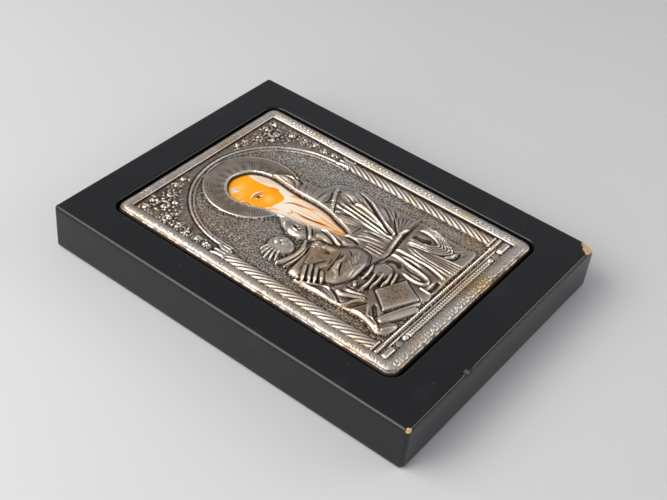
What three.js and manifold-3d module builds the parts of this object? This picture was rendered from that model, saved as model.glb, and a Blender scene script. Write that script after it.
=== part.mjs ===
// An icon panel that lies on its back: a black wooden block, an embossed silver cover set in a
// recess of the block, and a painted board that shows through the cover's window.
// Millimetres. X runs across the picture, Y up the picture to the head, Z out of its face.
// The origin is the centre of the block's underside.
import * as THREE from "three";
import { mergeVertices } from "three/addons/utils/BufferGeometryUtils.js";
import Module from "manifold-3d";

const wasm = await Module();
wasm.setup();

// ---- driving dimensions ----
const panelWidth = 154;
const panelHeight = 202;
const panelThickness = 24;
const panelCornerRadius = 2;
const panelEdgeRound = 1.8;

const coverWidth = 115;
const coverHeight = 160;
const coverCornerRadius = 4.5;
const coverShiftY = 1; // the recess sits a little above the middle of the block
const recessGap = 1.5;
const recessDepth = 4.5;
const recessCornerRadius = 7;
const recessEdgeRound = 1;

const floorZ = panelThickness - recessDepth;
const fieldZ = floorZ + 2.7; // the stippled ground of the picture
const borderWidth = 7;
const borderRise = 2.4; // the border's crest above the ground
const boardThickness = 1.5;
const boardWidth = 34;
const boardHeight = 76;
const boardGap = 0.3;

const innerHalfWidth = coverWidth / 2 - borderWidth;
const innerTop = coverShiftY + coverHeight / 2 - borderWidth + 1;
const innerBottom = coverShiftY - coverHeight / 2 + borderWidth;
const floorLine = -62.5; // the line that the figure sits on
const archCentreY = 28.5;
const archRadius = 42;
const columnX = 46.5;
const columnHalfWidth = 3;
const columnTop = 22;
const ropePitch = 4.15;

const haloCentre = [-0.8, 45.3];
const haloRadius = 24.2;
const haloRays = 16;

// Heights of the figure's layers above the ground.
const rise = { halo: 0.5, robe: 1.3, lap: 1.2, mantle: 1.0, scroll: 1.7, child: 2.3, hand: 2.9 };

const silver = new THREE.MeshStandardMaterial({ color: 0x9a938a, roughness: 0.38, metalness: 1 });
const lacquer = new THREE.MeshStandardMaterial({ color: 0x1b1c1f, roughness: 0.42, metalness: 0 });
const paint = new THREE.MeshStandardMaterial({ color: 0xe89020, roughness: 0.35, metalness: 0 });

// ---- helpers ----
const arcSteps = 12; // half of the flats along an arc of the arch
const mergeTolerance = 1e-4;
const figureTolerance = 0.2; // slivers thinner than this are smoothed out of the figure
const sheetTolerance = 0.06; // and out of the whole cover

function solid(geometry) {
  geometry.deleteAttribute("normal");
  geometry.deleteAttribute("uv");
  const merged = mergeVertices(geometry, mergeTolerance);
  const mesh = new wasm.Mesh({
    numProp: 3,
    vertProperties: new Float32Array(merged.attributes.position.array),
    triVerts: new Uint32Array(merged.index.array),
  });
  return new wasm.Manifold(mesh);
}

function meshOf(manifold, name, material) {
  const { vertProperties, triVerts } = manifold.getMesh();
  const geometry = new THREE.BufferGeometry();
  geometry.setAttribute("position", new THREE.BufferAttribute(vertProperties, 3));
  geometry.setIndex(new THREE.BufferAttribute(triVerts, 1));
  geometry.computeVertexNormals();
  const mesh = new THREE.Mesh(geometry, material);
  mesh.name = name;
  return mesh;
}

const joined = (solids) => solids.reduce((all, one) => all.add(one));

// The outer skin alone: small hollows shut in between crossing folds are filled.
const outerSkin = (manifold) =>
  manifold.decompose().reduce((best, one) => (one.volume() > best.volume() ? one : best));
const vectors = (points) => points.map(([x, y]) => new THREE.Vector3(x, y, 0));

// A smooth closed outline through a few points, as a shape.
function outlineShape(points, stepsPerPoint = 2) {
  const curve = new THREE.CatmullRomCurve3(vectors(points), true, "centripetal");
  const ring = curve.getPoints(points.length * stepsPerPoint).slice(0, -1);
  return new THREE.Shape(ring.map((p) => new THREE.Vector2(p.x, p.y)));
}

function roundedRectangle(width, height, radius) {
  const x = width / 2 - radius;
  const y = height / 2 - radius;
  const shape = new THREE.Shape();
  shape.absarc(x, y, radius, 0, Math.PI / 2);
  shape.absarc(-x, y, radius, Math.PI / 2, Math.PI);
  shape.absarc(-x, -y, radius, Math.PI, 1.5 * Math.PI);
  shape.absarc(x, -y, radius, 1.5 * Math.PI, 2 * Math.PI);
  return shape;
}

// A slab between two heights whose long edges are rounded inwards by edge.
function slab(shape, low, high, edge = 0, segments = 2, curveSegments = 5) {
  const geometry = new THREE.ExtrudeGeometry(shape, {
    depth: high - low - 2 * edge,
    steps: 1,
    curveSegments,
    bevelEnabled: edge > 0,
    bevelThickness: edge,
    bevelSize: edge,
    bevelOffset: -edge,
    bevelSegments: segments,
  });
  geometry.translate(0, 0, low + edge);
  return solid(geometry);
}

// A raised region of the figure, with a softened outline, rising from inside the cover.
const region = (points, height, edge = 0.7) =>
  slab(outlineShape(points), floorZ + 1, fieldZ + height, edge, 1);

// A fold, finger or leaf: a ridge bent along a curve, tapering to both ends. Its section is
// width wide and stands height over the level that it lies on, and is rooted below it. Three
// sides make a crease, and more make a rounder back.
function swell(points, width, height, level, options = {}) {
  const { steps = 5, around = 3, blunt = 1, root = 0.6 } = options;
  const curve = new THREE.CatmullRomCurve3(vectors(points), false, "centripetal");
  const geometry = new THREE.SphereGeometry(1, around, steps, Math.PI / 2);
  const position = geometry.attributes.position;
  const up = new THREE.Vector3(0, 0, 1);
  const flare = around === 3 ? (1 + root) / Math.cos(Math.PI / 6) : 1;
  for (let i = 0; i < position.count; i++) {
    const along = (1 - position.getY(i)) / 2;
    const onCurve = curve.getPoint(along);
    const side = new THREE.Vector3().crossVectors(up, curve.getTangent(along));
    const taper = Math.pow(Math.max(1e-6, Math.sin(Math.PI * along)), blunt - 1);
    const lift = position.getZ(i);
    onCurve.addScaledVector(side, (position.getX(i) * taper * flare * width) / 2);
    onCurve.z = fieldZ + level + lift * taper * (lift > 0 ? height : height * root * 2);
    position.setXYZ(i, onCurve.x, onCurve.y, onCurve.z);
  }
  return solid(geometry);
}

// A fan of folds between two guide curves, spaced evenly from the first to the last.
function fan(first, last, count, width, height, level, options) {
  return Array.from({ length: count }, (_, i) => {
    const share = count > 1 ? i / (count - 1) : 0;
    const path = first.map(([x, y], k) => [
      x + (last[k][0] - x) * share,
      y + (last[k][1] - y) * share,
    ]);
    return swell(path, width, height, level, options);
  });
}

// ---- the wooden block ----
function woodPanel() {
  const block = slab(
    roundedRectangle(panelWidth, panelHeight, panelCornerRadius),
    0, panelThickness, panelEdgeRound, 2, 3,
  );
  const recess = roundedRectangle(
    coverWidth + 2 * recessGap, coverHeight + 2 * recessGap, recessCornerRadius,
  );
  const pocket = slab(recess, floorZ, panelThickness + 1, 0, 1, 4).translate(0, coverShiftY, 0);
  const lipSteps = 2;
  const lip = Array.from({ length: lipSteps }, (_, i) => {
    const angle = ((i + 0.5) / lipSteps) * (Math.PI / 2);
    const spread = recessEdgeRound * (1 - Math.cos(angle));
    const drop = recessEdgeRound * (1 - Math.sin(angle));
    const ring = roundedRectangle(
      coverWidth + 2 * (recessGap + spread),
      coverHeight + 2 * (recessGap + spread),
      recessCornerRadius + spread,
    );
    return slab(ring, panelThickness - drop, panelThickness + 1, 0, 1, 4)
      .translate(0, coverShiftY, 0);
  });
  const halfX = panelWidth / 2;
  const halfY = panelHeight / 2;
  // Knocked corners and one nick on the lower edge: where, and how large.
  const chips = [
    [halfX, -halfY, panelThickness, 2.8],
    [-halfX, -halfY, panelThickness, 1.5],
    [-halfX, halfY, panelThickness, 1],
    [-halfX, -halfY, 0, 1.2],
    [-33, -halfY, panelThickness, 1.3],
  ].map(([x, y, z, size]) => {
    const lump = new THREE.IcosahedronGeometry(size, 1);
    lump.scale(1.25, 1, 0.9);
    lump.rotateZ(0.5);
    lump.translate(x, y, z);
    return solid(lump);
  });
  return meshOf(
    block.subtract(pocket).subtract(joined(lip)).subtract(joined(chips)),
    "wood_panel",
    lacquer,
  );
}

// ---- the silver cover: border, arch, columns and base ----
function coverBlank() {
  const inner = (spread) => roundedRectangle(
    2 * (innerHalfWidth + spread), innerTop - innerBottom + 2 * spread, 1 + spread,
  );
  const centreY = (innerTop + innerBottom) / 2;
  const rim = slab(
    roundedRectangle(coverWidth, coverHeight, coverCornerRadius),
    floorZ, fieldZ + borderRise, 2, 3, 3,
  ).translate(0, coverShiftY, 0);
  // The under edge of the rim is square, as the sheet is turned down into the recess.
  const skirt = slab(
    roundedRectangle(coverWidth, coverHeight, coverCornerRadius),
    floorZ, floorZ + 2.2, 0, 1, 3,
  ).translate(0, coverShiftY, 0);
  const steps = 3;
  const hollow = Array.from({ length: steps }, (_, i) => {
    const angle = ((i + 1) / steps) * (Math.PI / 2);
    const spread = 2.2 * (1 - Math.cos(angle));
    const low = fieldZ + borderRise * 0.92 * (1 - Math.cos(angle));
    return slab(inner(spread), i ? low - 0.4 : fieldZ, fieldZ + borderRise + 1, 0, 1, 1)
      .translate(0, centreY, 0);
  });
  return rim.add(skirt).subtract(joined(hollow));
}

function arch() {
  const band = (outer, innerRadius, height) => {
    const shape = new THREE.Shape();
    shape.absarc(0, archCentreY, outer, 0, Math.PI);
    shape.absarc(0, archCentreY, innerRadius, Math.PI, 0, true);
    return slab(shape, floorZ + 1, fieldZ + height, 0, 1, arcSteps);
  };
  const upper = band(archRadius + 1, archRadius + 0.1, 1.1);
  return upper.add(band(archRadius - 0.1, archRadius - 0.9, 0.8));
}

// The raised ground of the two upper corners, between the arch and the border.
function spandrelGround() {
  const shape = new THREE.Shape();
  shape.moveTo(innerHalfWidth + 1, columnTop + 3);
  shape.lineTo(innerHalfWidth + 1, innerTop + 1);
  shape.lineTo(-innerHalfWidth - 1, innerTop + 1);
  shape.lineTo(-innerHalfWidth - 1, columnTop + 3);
  shape.lineTo(-archRadius, columnTop + 3);
  shape.absarc(0, archCentreY, archRadius, Math.PI, 0, true);
  shape.lineTo(archRadius, columnTop + 3);
  return slab(shape, floorZ + 1, fieldZ + 0.45, 0, 1, arcSteps);
}

// A leaf scroll: a spiral rib that winds in to its centre.
function scrollLeaf(x, y, radius, turn, hand) {
  const points = Array.from({ length: 7 }, (_, i) => {
    const angle = turn + hand * i * 0.95;
    const reach = radius * (1 - 0.14 * i);
    return [x + reach * Math.cos(angle), y + reach * Math.sin(angle)];
  });
  return swell(points, 1.9, 0.9, 0.45, { steps: 5 });
}

function spandrelLeaves() {
  // The scrolls of one upper corner, from the corner along the top and down the side.
  const leaves = [
    [40, 66, 4.3, 0.6], [32, 69, 3.4, 2.4], [45.3, 57.5, 3.4, 5.2], [24.5, 71.5, 2.3, 0.6],
    [46.8, 49.5, 2.5, 1.2], [47.3, 42.5, 2.2, 4.4], [47.5, 36, 2, 1.2], [47, 71.2, 2.4, 1.4],
  ];
  return leaves.flatMap(([x, y, radius, turn]) => [
    scrollLeaf(x, y, radius, turn, 1),
    scrollLeaf(-x, y, radius, Math.PI - turn, -1),
  ]);
}

// One rope-twisted shaft: a run of lobes along the column, sheared to lean and lowered at its
// two sides.
function ropeShaft(x) {
  const lobes = Math.round((columnTop - floorLine - 3) / ropePitch);
  const pitch = (columnTop - floorLine - 3) / lobes;
  const [crest, valley] = [1.5, 0.35];
  const profile = new THREE.Shape();
  profile.moveTo(0, -1);
  for (let i = 0; i < lobes; i++) {
    profile.lineTo(i * pitch, valley);
    profile.lineTo((i + 0.3) * pitch, crest);
    profile.lineTo((i + 0.7) * pitch, crest);
  }
  profile.lineTo(lobes * pitch, valley);
  profile.lineTo(lobes * pitch, -1);
  const geometry = new THREE.ExtrudeGeometry(profile, {
    depth: 2 * columnHalfWidth,
    steps: 2,
    bevelEnabled: false,
  });
  const position = geometry.attributes.position;
  for (let i = 0; i < position.count; i++) {
    const along = position.getX(i);
    const height = position.getY(i);
    const across = position.getZ(i) - columnHalfWidth;
    const sunk = Math.abs(across) > 0.1 && height > 0 ? 0.25 : 1;
    const leaning = floorLine + 1.5 + along + Math.sign(x) * across * 0.62;
    position.setXYZ(i, x + across, leaning, fieldZ + height * sunk);
  }
  return solid(geometry);
}

function columns() {
  const parts = [];
  for (const side of [-1, 1]) {
    const x = side * columnX;
    parts.push(ropeShaft(x));
    // Capital of three upright leaves on a ring, and a plain foot.
    for (const lean of [-1, 0, 1]) {
      const foot = x + lean * 1.6;
      parts.push(swell([[foot, columnTop - 1], [foot, columnTop + 2.5], [foot + lean * 1.4,
        columnTop + 5.5]], 2.3, 1.8, 0.2, { steps: 4 }));
    }
    parts.push(plate(x - 3.4, x + 3.4, columnTop - 1, columnTop, 1.5, 0));
    parts.push(plate(x - 3.4, x + 3.4, floorLine, floorLine + 1.2, 1.5, 0));
  }
  return parts;
}

// A straight-edged raised plate with softened edges.
function plate(left, right, bottom, top, height, edge) {
  const shape = new THREE.Shape();
  shape.moveTo(left, bottom);
  shape.lineTo(right, bottom);
  shape.lineTo(right, top);
  shape.lineTo(left, top);
  return slab(shape, floorZ + 1, fieldZ + height, edge, 1);
}

function base() {
  const reach = innerHalfWidth - 0.5;
  const parts = [
    plate(-reach, reach, floorLine - 1.9, floorLine - 0.6, 1.5, 0.4),
    plate(-reach, reach, floorLine - 3.4, floorLine - 2.5, 1.2, 0),
    plate(-30, 30, -69.8, -66.6, 1.0, 0),
    plate(-reach, reach, innerBottom + 0.2, innerBottom + 1, 1.0, 0),
  ];
  for (const side of [-1, 1]) {
    parts.push(plate(side * 45.4 - 3.5, side * 45.4 + 3.5, -70.2, -66.4, 1.7, 0.6));
    const boss = new THREE.SphereGeometry(1.8, 7, 4);
    boss.scale(1, 1, 0.9);
    boss.translate(side * 33.5, -68.3, fieldZ + 0.2);
    parts.push(solid(boss));
    parts.push(scrollLeaf(side * 38.3, -68.3, 1.7, 0, side));
  }
  return parts;
}

// ---- the halo ----
function halo() {
  const [x, y] = haloCentre;
  const disc = new THREE.Shape();
  disc.absarc(x, y, haloRadius, 0, 2 * Math.PI);
  const parts = [slab(disc, floorZ + 1, fieldZ + rise.halo, 0, 1, arcSteps + 6)];
  const ring = new THREE.Shape();
  ring.absarc(x, y, haloRadius - 0.5, 0, 2 * Math.PI);
  const hole = new THREE.Path();
  hole.absarc(x, y, haloRadius - 1.5, 0, 2 * Math.PI);
  ring.holes.push(hole);
  parts.push(slab(ring, floorZ + 1, fieldZ + rise.halo + 0.4, 0, 1, arcSteps + 6));
  for (let i = 0; i < haloRays; i++) {
    const ray = new THREE.ConeGeometry(0.85, 12, 3, 1);
    ray.scale(1, 1, 0.5);
    ray.rotateZ(Math.PI);
    ray.translate(0, haloRadius - 8.5, fieldZ + rise.halo);
    ray.rotateZ((i / haloRays) * 2 * Math.PI);
    ray.translate(x, y, 0);
    parts.push(solid(ray));
  }
  return parts;
}

// ---- the robed figure ----
function robe() {
  const torso = region([
    [-7, 26], [-12, 18], [-16.5, 9], [-15, 2], [-12, -8], [-14, -20], [-10, -32], [2, -33.5],
    [16, -31], [28, -31], [34.4, -30], [34.7, -18], [34.3, -2], [33.3, 8], [31, 14.5], [27, 18.6],
    [22, 21], [20, 27], [17.5, 35], [14.5, 41.5], [11, 43], [6, 34], [0, 24],
  ], rise.robe);
  const hem = [15, -28.5]; // the folds of the arm gather here, at the waist
  return [
    torso,
    // hood behind the neck, and the folds of the shoulder
    ...fan([[11, 40], [14.2, 34], [12.5, 27]], [[15, 41], [17.6, 34], [13.5, 25.5]], 3, 2, 0.8,
      rise.robe, {}),
    ...fan([[10.8, 24], [15, 26.5], [20, 28]], [[11, 13], [17, 14.2], [27, 15.8]], 5, 2, 0.8,
      rise.robe, {}),
    swell([[10, 5], [15, 8.6], [21, 12], [30, 13.4]], 2, 0.9, rise.robe, { steps: 5 }),
    // upper arm, and the long folds from shoulder to waist
    swell([[25, 12], [25.5, 4], [21.5, -3]], 8, 1.2, rise.robe, { around: 6 }),
    swell([[19.5, 9], [15.3, 2], [13, -9], [12.2, -27]], 2, 1, rise.robe, { steps: 5 }),
    swell([[21, 8], [17.2, 0], [15, -12], [13.2, -28]], 1.4, 1.1, rise.robe, { steps: 5 }),
    swell([[22.5, 6], [19.6, -2], [18.3, -12], hem], 1.8, 1.1, rise.robe, { steps: 5 }),
    ...fan([[29, 5], [25.5, -3], [20.5, -13], [15.5, -27]], [[33.6, -24], [28, -25], [22, -26.4],
      [16, -29]], 5, 2.6, 1.1, rise.robe, { steps: 5 }),
    // breast, beside and under the beard
    swell([[9.5, 4], [8.6, -2], [9.4, -9], [11.6, -14]], 3.2, 0.8, rise.robe, {}),
    ...fan([[2, -11], [4.6, -18], [7, -30]], [[8, -12], [10.4, -18], [11.4, -28]], 3, 1.7, 0.8,
      rise.robe, {}),
    ...fan([[-0.8, -21], [-0.8, -26], [-0.8, -31]], [[3, -19], [2.8, -25], [3, -31]], 3, 1.4, 0.7,
      rise.robe, {}),
    // far shoulder: nested bows, a band and the folds that fall from it
    ...fan([[-12.5, 16], [-15.4, 9], [-13.6, 2.6]], [[-9.6, 13], [-10.8, 9.4], [-9, 6.4]], 3, 1.7,
      0.8, rise.robe, {}),
    swell([[-4.6, 8.4], [-9, 4.6], [-14, 0.4]], 1.9, 0.9, rise.robe, {}),
    ...fan([[-5.5, 4], [-8.6, -2], [-9, -12]], [[-1.6, -2], [-3.4, -8], [-2.4, -19]], 3, 2.2, 0.9,
      rise.robe, {}),
  ];
}

function lap() {
  const skirt = region([
    [-10, -32], [4, -31.5], [16, -29.5], [26, -28.5], [33, -29], [34.6, -33], [33.4, -40],
    [31.6, -48], [31, -55], [31, -61.8], [22, -62.3], [0, -62.3], [-20, -62.3], [-34, -62.3],
    [-27, -54], [-25, -44], [-20, -36],
  ], rise.lap);
  const knee = (grow) => [
    [14.5 - 0.2 * grow, -30 + 0.6 * grow], [21, -28.6 + 0.8 * grow], [27 + 0.9 * grow, -32 + grow],
    [28 + 1.2 * grow, -39], [25 + grow, -45 - grow], [20.5, -46 - 1.7 * grow],
  ];
  return [
    skirt,
    swell([[23.4, -32.5], [24.4, -38], [22.6, -43.5]], 7, 1.1, rise.lap, { around: 6 }),
    ...[0, 2, 4.2].map((grow) => swell(knee(grow), 1.9, 1.1, rise.lap, { steps: 7 })),
    ...fan([[15.2, -31], [18.8, -38], [21.8, -46]], [[15, -33], [16.6, -43], [23, -55]], 3, 1.7,
      0.9, rise.lap, { steps: 5 }),
    swell([[-4, -32], [6, -31], [16, -29]], 2.2, 1.2, rise.lap, {}),
    swell([[8, -32.5], [9, -41], [8.6, -51], [6, -62]], 2.3, 1.1, rise.lap, { steps: 5 }),
    swell([[5, -33], [4, -42], [2.4, -50], [0.4, -57]], 1.7, 1.5, rise.lap, { steps: 5 }),
    swell([[-2.4, -44], [-4, -50], [-3, -55.4], [0, -57.6]], 1.7, 1.5, rise.lap, { steps: 5 }),
    ...fan([[14, -35], [11.6, -45], [10.8, -61.5]], [[17.6, -42], [17.4, -52], [19, -61.5]], 5,
      1.5, 0.9, rise.lap, { steps: 5 }),
    ...fan([[-6, -56], [-6.2, -59], [-6.2, -62]], [[4, -58], [4, -60], [4, -62]], 3, 2, 0.7,
      rise.lap, { steps: 4 }),
  ];
}

function mantle() {
  const hanging = region([
    [-39.5, -9.5], [-40.3, -18], [-39.4, -27], [-38.2, -32], [-38.4, -36], [-39.2, -42],
    [-40, -50], [-41, -57.6], [-36, -61.4], [-30, -62], [-26, -54], [-24, -45], [-25, -36],
    [-28, -29], [-33, -22], [-36.5, -14],
  ], rise.mantle);
  return [
    hanging,
    swell([[-38.8, -12], [-36.2, -18.5], [-33.8, -25], [-36.8, -32.5]], 2.3, 1.2, rise.mantle,
      { steps: 5 }),
    swell([[-39.6, -15], [-39.4, -25], [-37.6, -34.8]], 1.7, 1, rise.mantle, {}),
    swell([[-38, -36], [-34, -39.8], [-27.4, -44.4]], 2.2, 1.3, rise.mantle, {}),
    ...fan([[-31, -27], [-32.8, -33.5], [-26.5, -44]], [[-27, -31], [-26.6, -37], [-24.6, -43]], 2,
      2.6, 1.2, rise.mantle, {}),
    swell([[-38.6, -40], [-39.4, -48], [-40.8, -57.5]], 2.6, 1.2, rise.mantle, {}),
    swell([[-28, -44.6], [-33, -47.6], [-36.8, -51], [-40.4, -58]], 2, 1.1, rise.mantle, {}),
    swell([[-40, -58], [-35.6, -60.4], [-31, -62]], 2, 1, rise.mantle, {}),
  ];
}

// The written sheet, its lower end rolled.
function writtenSheet() {
  const page = new THREE.Shape();
  page.moveTo(-20.6, -42);
  page.lineTo(-4.2, -47.6);
  page.lineTo(-4.6, -50.5);
  page.lineTo(-13, -61.4);
  page.lineTo(-32, -54.6);
  page.lineTo(-28.6, -52.6);
  const rows = 5;
  const strokes = Array.from({ length: rows }, (_, i) => {
    const x = -22.4 - 1.2 * i;
    const y = -45.6 - 1.7 * i;
    return swell([[x, y], [x + 6.4, y - 2.6], [x + 12.8, y - 5.2]], 0.7, 0.35, rise.scroll,
      { steps: 4 });
  });
  return [
    slab(page, floorZ + 1, fieldZ + rise.scroll, 0.3, 1),
    swell([[-35, -55], [-26, -58.6], [-16.6, -62.2]], 4.6, 1.5, rise.scroll - 0.4,
      { around: 8, steps: 7, blunt: 0.6 }),
    ...strokes,
  ];
}

// ---- the swaddled child and the two hands that hold it ----
function child() {
  const body = region([
    [-35, -4.4], [-28, -3.4], [-18, -2.2], [-10.5, -3], [-8.6, -9], [-6, -15], [-2, -19],
    [-1.4, -24], [-6, -28], [-14, -30.2], [-22, -30.2], [-28, -27.4], [-31.4, -22], [-36, -14],
    [-37, -8.4],
  ], rise.child, 1.2);
  const hood = [-24.4, 8.4];
  const head = new THREE.SphereGeometry(6.6, 10, 6);
  head.rotateX(Math.PI / 2);
  head.scale(1.02, 1.1, 0.42);
  head.translate(hood[0], hood[1], fieldZ + 0.6);
  const pleats = [2.45, 2.8, 3.15, 3.5, 3.85].map((angle) => {
    const [c, s] = [Math.cos(angle), Math.sin(angle)];
    return swell([[hood[0] + 3.2 * c, hood[1] + 3.2 * s], [hood[0] + 7 * c, hood[1] + 6.6 * s],
      [hood[0] + 10.8 * c, hood[1] + 9 * s]], 1.9, 1.5, 0.9, { steps: 5 });
  });
  // A small plain face that looks up to the right: brow, cheeks, nose and chin.
  const features = [
    swell([[-24.6, 13.2], [-21.6, 11.8], [-19.6, 9]], 2.6, 0.7, 2.9, { steps: 5 }),
    swell([[-22, 9.6], [-21, 8.2], [-20.4, 6.6]], 1.5, 0.9, 3, { steps: 4 }),
    swell([[-24.4, 6.4], [-22.6, 5.4], [-21, 3.9]], 2.8, 0.7, 2.8, { steps: 4 }),
  ];
  return [
    body,
    solid(head),
    ...pleats,
    ...features,
    // collar folds of the blanket
    swell([[-35, 2.4], [-29, 0.2], [-22, -1], [-13.6, 0.6]], 3, 1.2, 1.9, { steps: 5 }),
    swell([[-35, -1.2], [-28, -3], [-20, -3.2], [-12, -1.6]], 2, 1, 1.9, { steps: 5 }),
    // swaddling bands round the body
    ...fan([[-36, -7.2], [-27, -6.2], [-19, -4.4], [-11, -4.6]], [[-27, -27.6], [-19, -24.4],
      [-12, -22.6], [-3, -22.4]], 5, 2.6, 0.8, rise.child - 0.1, { steps: 5 }),
  ];
}

function hands() {
  const finger = (path, width) =>
    swell(path, width, 1.25, rise.hand, { steps: 5, around: 5, blunt: 0.65 });
  return [
    // near hand: four fingers laid round the child's back, and the thumb behind
    ...fan([[-37, -13.6], [-32.4, -11.8], [-28, -9.6]], [[-34.4, -22], [-31, -20.4], [-27, -17.8]],
      4, 2.5, 1.3, rise.hand - 0.5, { steps: 5, around: 5, blunt: 0.65 }),
    swell([[-38.2, -11], [-36.6, -11.6], [-35.2, -11.4]], 2, 1.2, rise.hand - 1.4, { around: 6 }),
    // far hand: back of the hand at the cuff, fingers reaching under the child
    swell([[-9, -35.4], [-4.6, -38], [-0.6, -39.4]], 9.5, 1.6, rise.hand - 1.4,
      { around: 8, steps: 5, blunt: 0.7 }),
    swell([[-24, -31.6], [-19, -32.4], [-15.4, -34.2]], 3, 1.2, rise.hand - 1.2, { around: 6 }),
    finger([[-25, -36.9], [-16, -37.6], [-6, -35.4]], 2.2),
    finger([[-20, -40], [-14, -39.9], [-6, -38.4]], 2),
    finger([[-16.4, -42.6], [-11, -42.8], [-4, -41]], 2.1),
    finger([[-14, -45.6], [-9, -45], [-3.6, -43]], 1.9),
    finger([[-17, -34.6], [-11, -33.2], [-5.6, -31.4]], 2.4),
  ];
}

// ---- window and painted board ----
// The opening for the head and the long beard: an egg over a tapering point.
const windowOutline = [
  [-1.5, 57.6], [-8.2, 55], [-12.2, 49.5], [-12.6, 43], [-10.8, 36.5], [-8.2, 31], [-7.2, 24],
  [-5.8, 15], [-3.6, 6], [-0.4, -3], [3, -9.6], [5.6, -5.5], [8.2, 1.5], [10.4, 8.5], [11, 18],
  [10.8, 28], [11.6, 37], [12.4, 43.5], [10.8, 50], [6.2, 55.6],
];
const boardCentre = [-0.4, 24];

function silverCover() {
  const raised = joined([
    ...halo(), ...robe(), ...lap(), ...mantle(), ...writtenSheet(), ...child(), ...hands(),
  ]);
  const setting = joined([arch(), spandrelGround(), ...spandrelLeaves(), ...columns(), ...base()]);
  const opening = slab(outlineShape(windowOutline), floorZ - 1, fieldZ + 6);
  const pocket = slab(
    roundedRectangle(boardWidth + 2 * boardGap, boardHeight + 2 * boardGap, 1),
    floorZ - 1, floorZ + boardThickness + boardGap, 0, 1, 1,
  ).translate(boardCentre[0], boardCentre[1], 0);
  const carved = raised.simplify(figureTolerance);
  const cover = coverBlank().add(setting).add(carved).subtract(opening).subtract(pocket);
  return meshOf(outerSkin(cover).simplify(sheetTolerance), "silver_cover", silver);
}

function paintedBoard() {
  const board = slab(roundedRectangle(boardWidth, boardHeight, 1), floorZ,
    floorZ + boardThickness, 0, 1, 1);
  return meshOf(board.translate(boardCentre[0], boardCentre[1], 0), "painted_board", paint);
}

const iconPanel = new THREE.Group();
iconPanel.add(woodPanel(), silverCover(), paintedBoard());
export default iconPanel;
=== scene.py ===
# %% [markdown]
# # An embossed silver icon in a black wooden block
#
# The object is a thick black board with a routed recess. A thin silver sheet, embossed with a
# robed saint who holds a swaddled child, lies in the recess. The saint's head and beard are
# painted on a board that shows through a window in the sheet. This lesson builds all of it from
# height maps, profiles carried along paths, and painted strokes.

import bpy
import numpy as np
from mathutils import Matrix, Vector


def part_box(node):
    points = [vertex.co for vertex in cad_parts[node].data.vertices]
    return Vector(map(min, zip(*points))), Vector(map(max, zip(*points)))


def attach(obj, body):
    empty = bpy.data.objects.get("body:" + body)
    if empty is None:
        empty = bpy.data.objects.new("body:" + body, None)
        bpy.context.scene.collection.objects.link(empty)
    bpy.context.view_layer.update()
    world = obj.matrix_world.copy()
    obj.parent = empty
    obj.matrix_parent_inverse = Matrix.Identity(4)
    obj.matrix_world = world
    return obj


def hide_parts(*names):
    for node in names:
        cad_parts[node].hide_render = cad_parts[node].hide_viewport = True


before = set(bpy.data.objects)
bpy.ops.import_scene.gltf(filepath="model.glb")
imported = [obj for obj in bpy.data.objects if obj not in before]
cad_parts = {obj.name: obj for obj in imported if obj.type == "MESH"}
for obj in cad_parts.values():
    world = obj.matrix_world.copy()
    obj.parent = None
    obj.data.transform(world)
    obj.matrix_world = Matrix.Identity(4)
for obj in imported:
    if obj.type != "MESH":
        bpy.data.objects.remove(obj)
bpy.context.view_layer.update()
MM = 0.001


def box_mm(node):
    """The lowest and highest corner of a node of the frame, in millimetres."""
    low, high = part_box(node)
    return np.array(low) / MM, np.array(high) / MM


panel_low, panel_high = box_mm("wood_panel")
cover_low, cover_high = box_mm("silver_cover")
board_low, board_high = box_mm("painted_board")
panel_size = panel_high - panel_low
print(len(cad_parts), "nodes in the frame")
print("panel", panel_size.round(1), "cover", (cover_high - cover_low).round(1), "mm")

# %% [markdown]
# ## Camera first
#
# The icon lies on its back and is seen from above its lower left corner. The camera is built from
# its place and from two directions: where it looks, and which way is right in its picture.

# %% Camera
CAMERA_PLACE = (-0.3600, -0.2418, 0.3816)
CAMERA_FORWARD = (0.6343, 0.4175, -0.6507)
CAMERA_RIGHT = (0.6113, -0.7861, 0.0915)


def put_in_place(name, data, place, back, right):
    """Adds an object that looks against back. Its matrix has the columns right, up and back."""
    back = np.array(back) / np.linalg.norm(back)
    right = np.array(right) - back * np.dot(right, back)
    right /= np.linalg.norm(right)
    thing = bpy.data.objects.new(name, data)
    turn = Matrix((right, np.cross(back, right), back)).transposed().to_4x4()
    thing.matrix_world = Matrix.Translation(place) @ turn
    bpy.context.scene.collection.objects.link(thing)
    return thing


def add_camera():
    """A long lens, so that the block's edges stay nearly parallel."""
    data = bpy.data.cameras.new("camera")
    data.lens = 65.0
    data.sensor_width = 36.0
    data.clip_start = 0.01
    back = -np.array(CAMERA_FORWARD)
    camera = put_in_place("camera", data, CAMERA_PLACE, back, CAMERA_RIGHT)
    bpy.context.scene.camera = camera
    return camera


camera = add_camera()
print("camera", camera.data.lens, "mm")

# %% [markdown]
# ## Small tools: smooth steps, smooth noise and smooth curves
#
# Three helpers do most of the drawing. A smooth step blends two values without a corner. Smooth
# noise is a table of random numbers, read between its entries. A Catmull-Rom spline is a curve
# that passes through every point that it is given, which suits a line drawn by hand.

# %% Drawing helpers
dice = np.random.default_rng(11)


def smoothstep(low, high, value):
    """0 below low, 1 above high, and 3t^2 - 2t^3 in between."""
    t = np.clip((value - low) / (high - low), 0.0, 1.0)
    return t * t * (3.0 - 2.0 * t)


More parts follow.
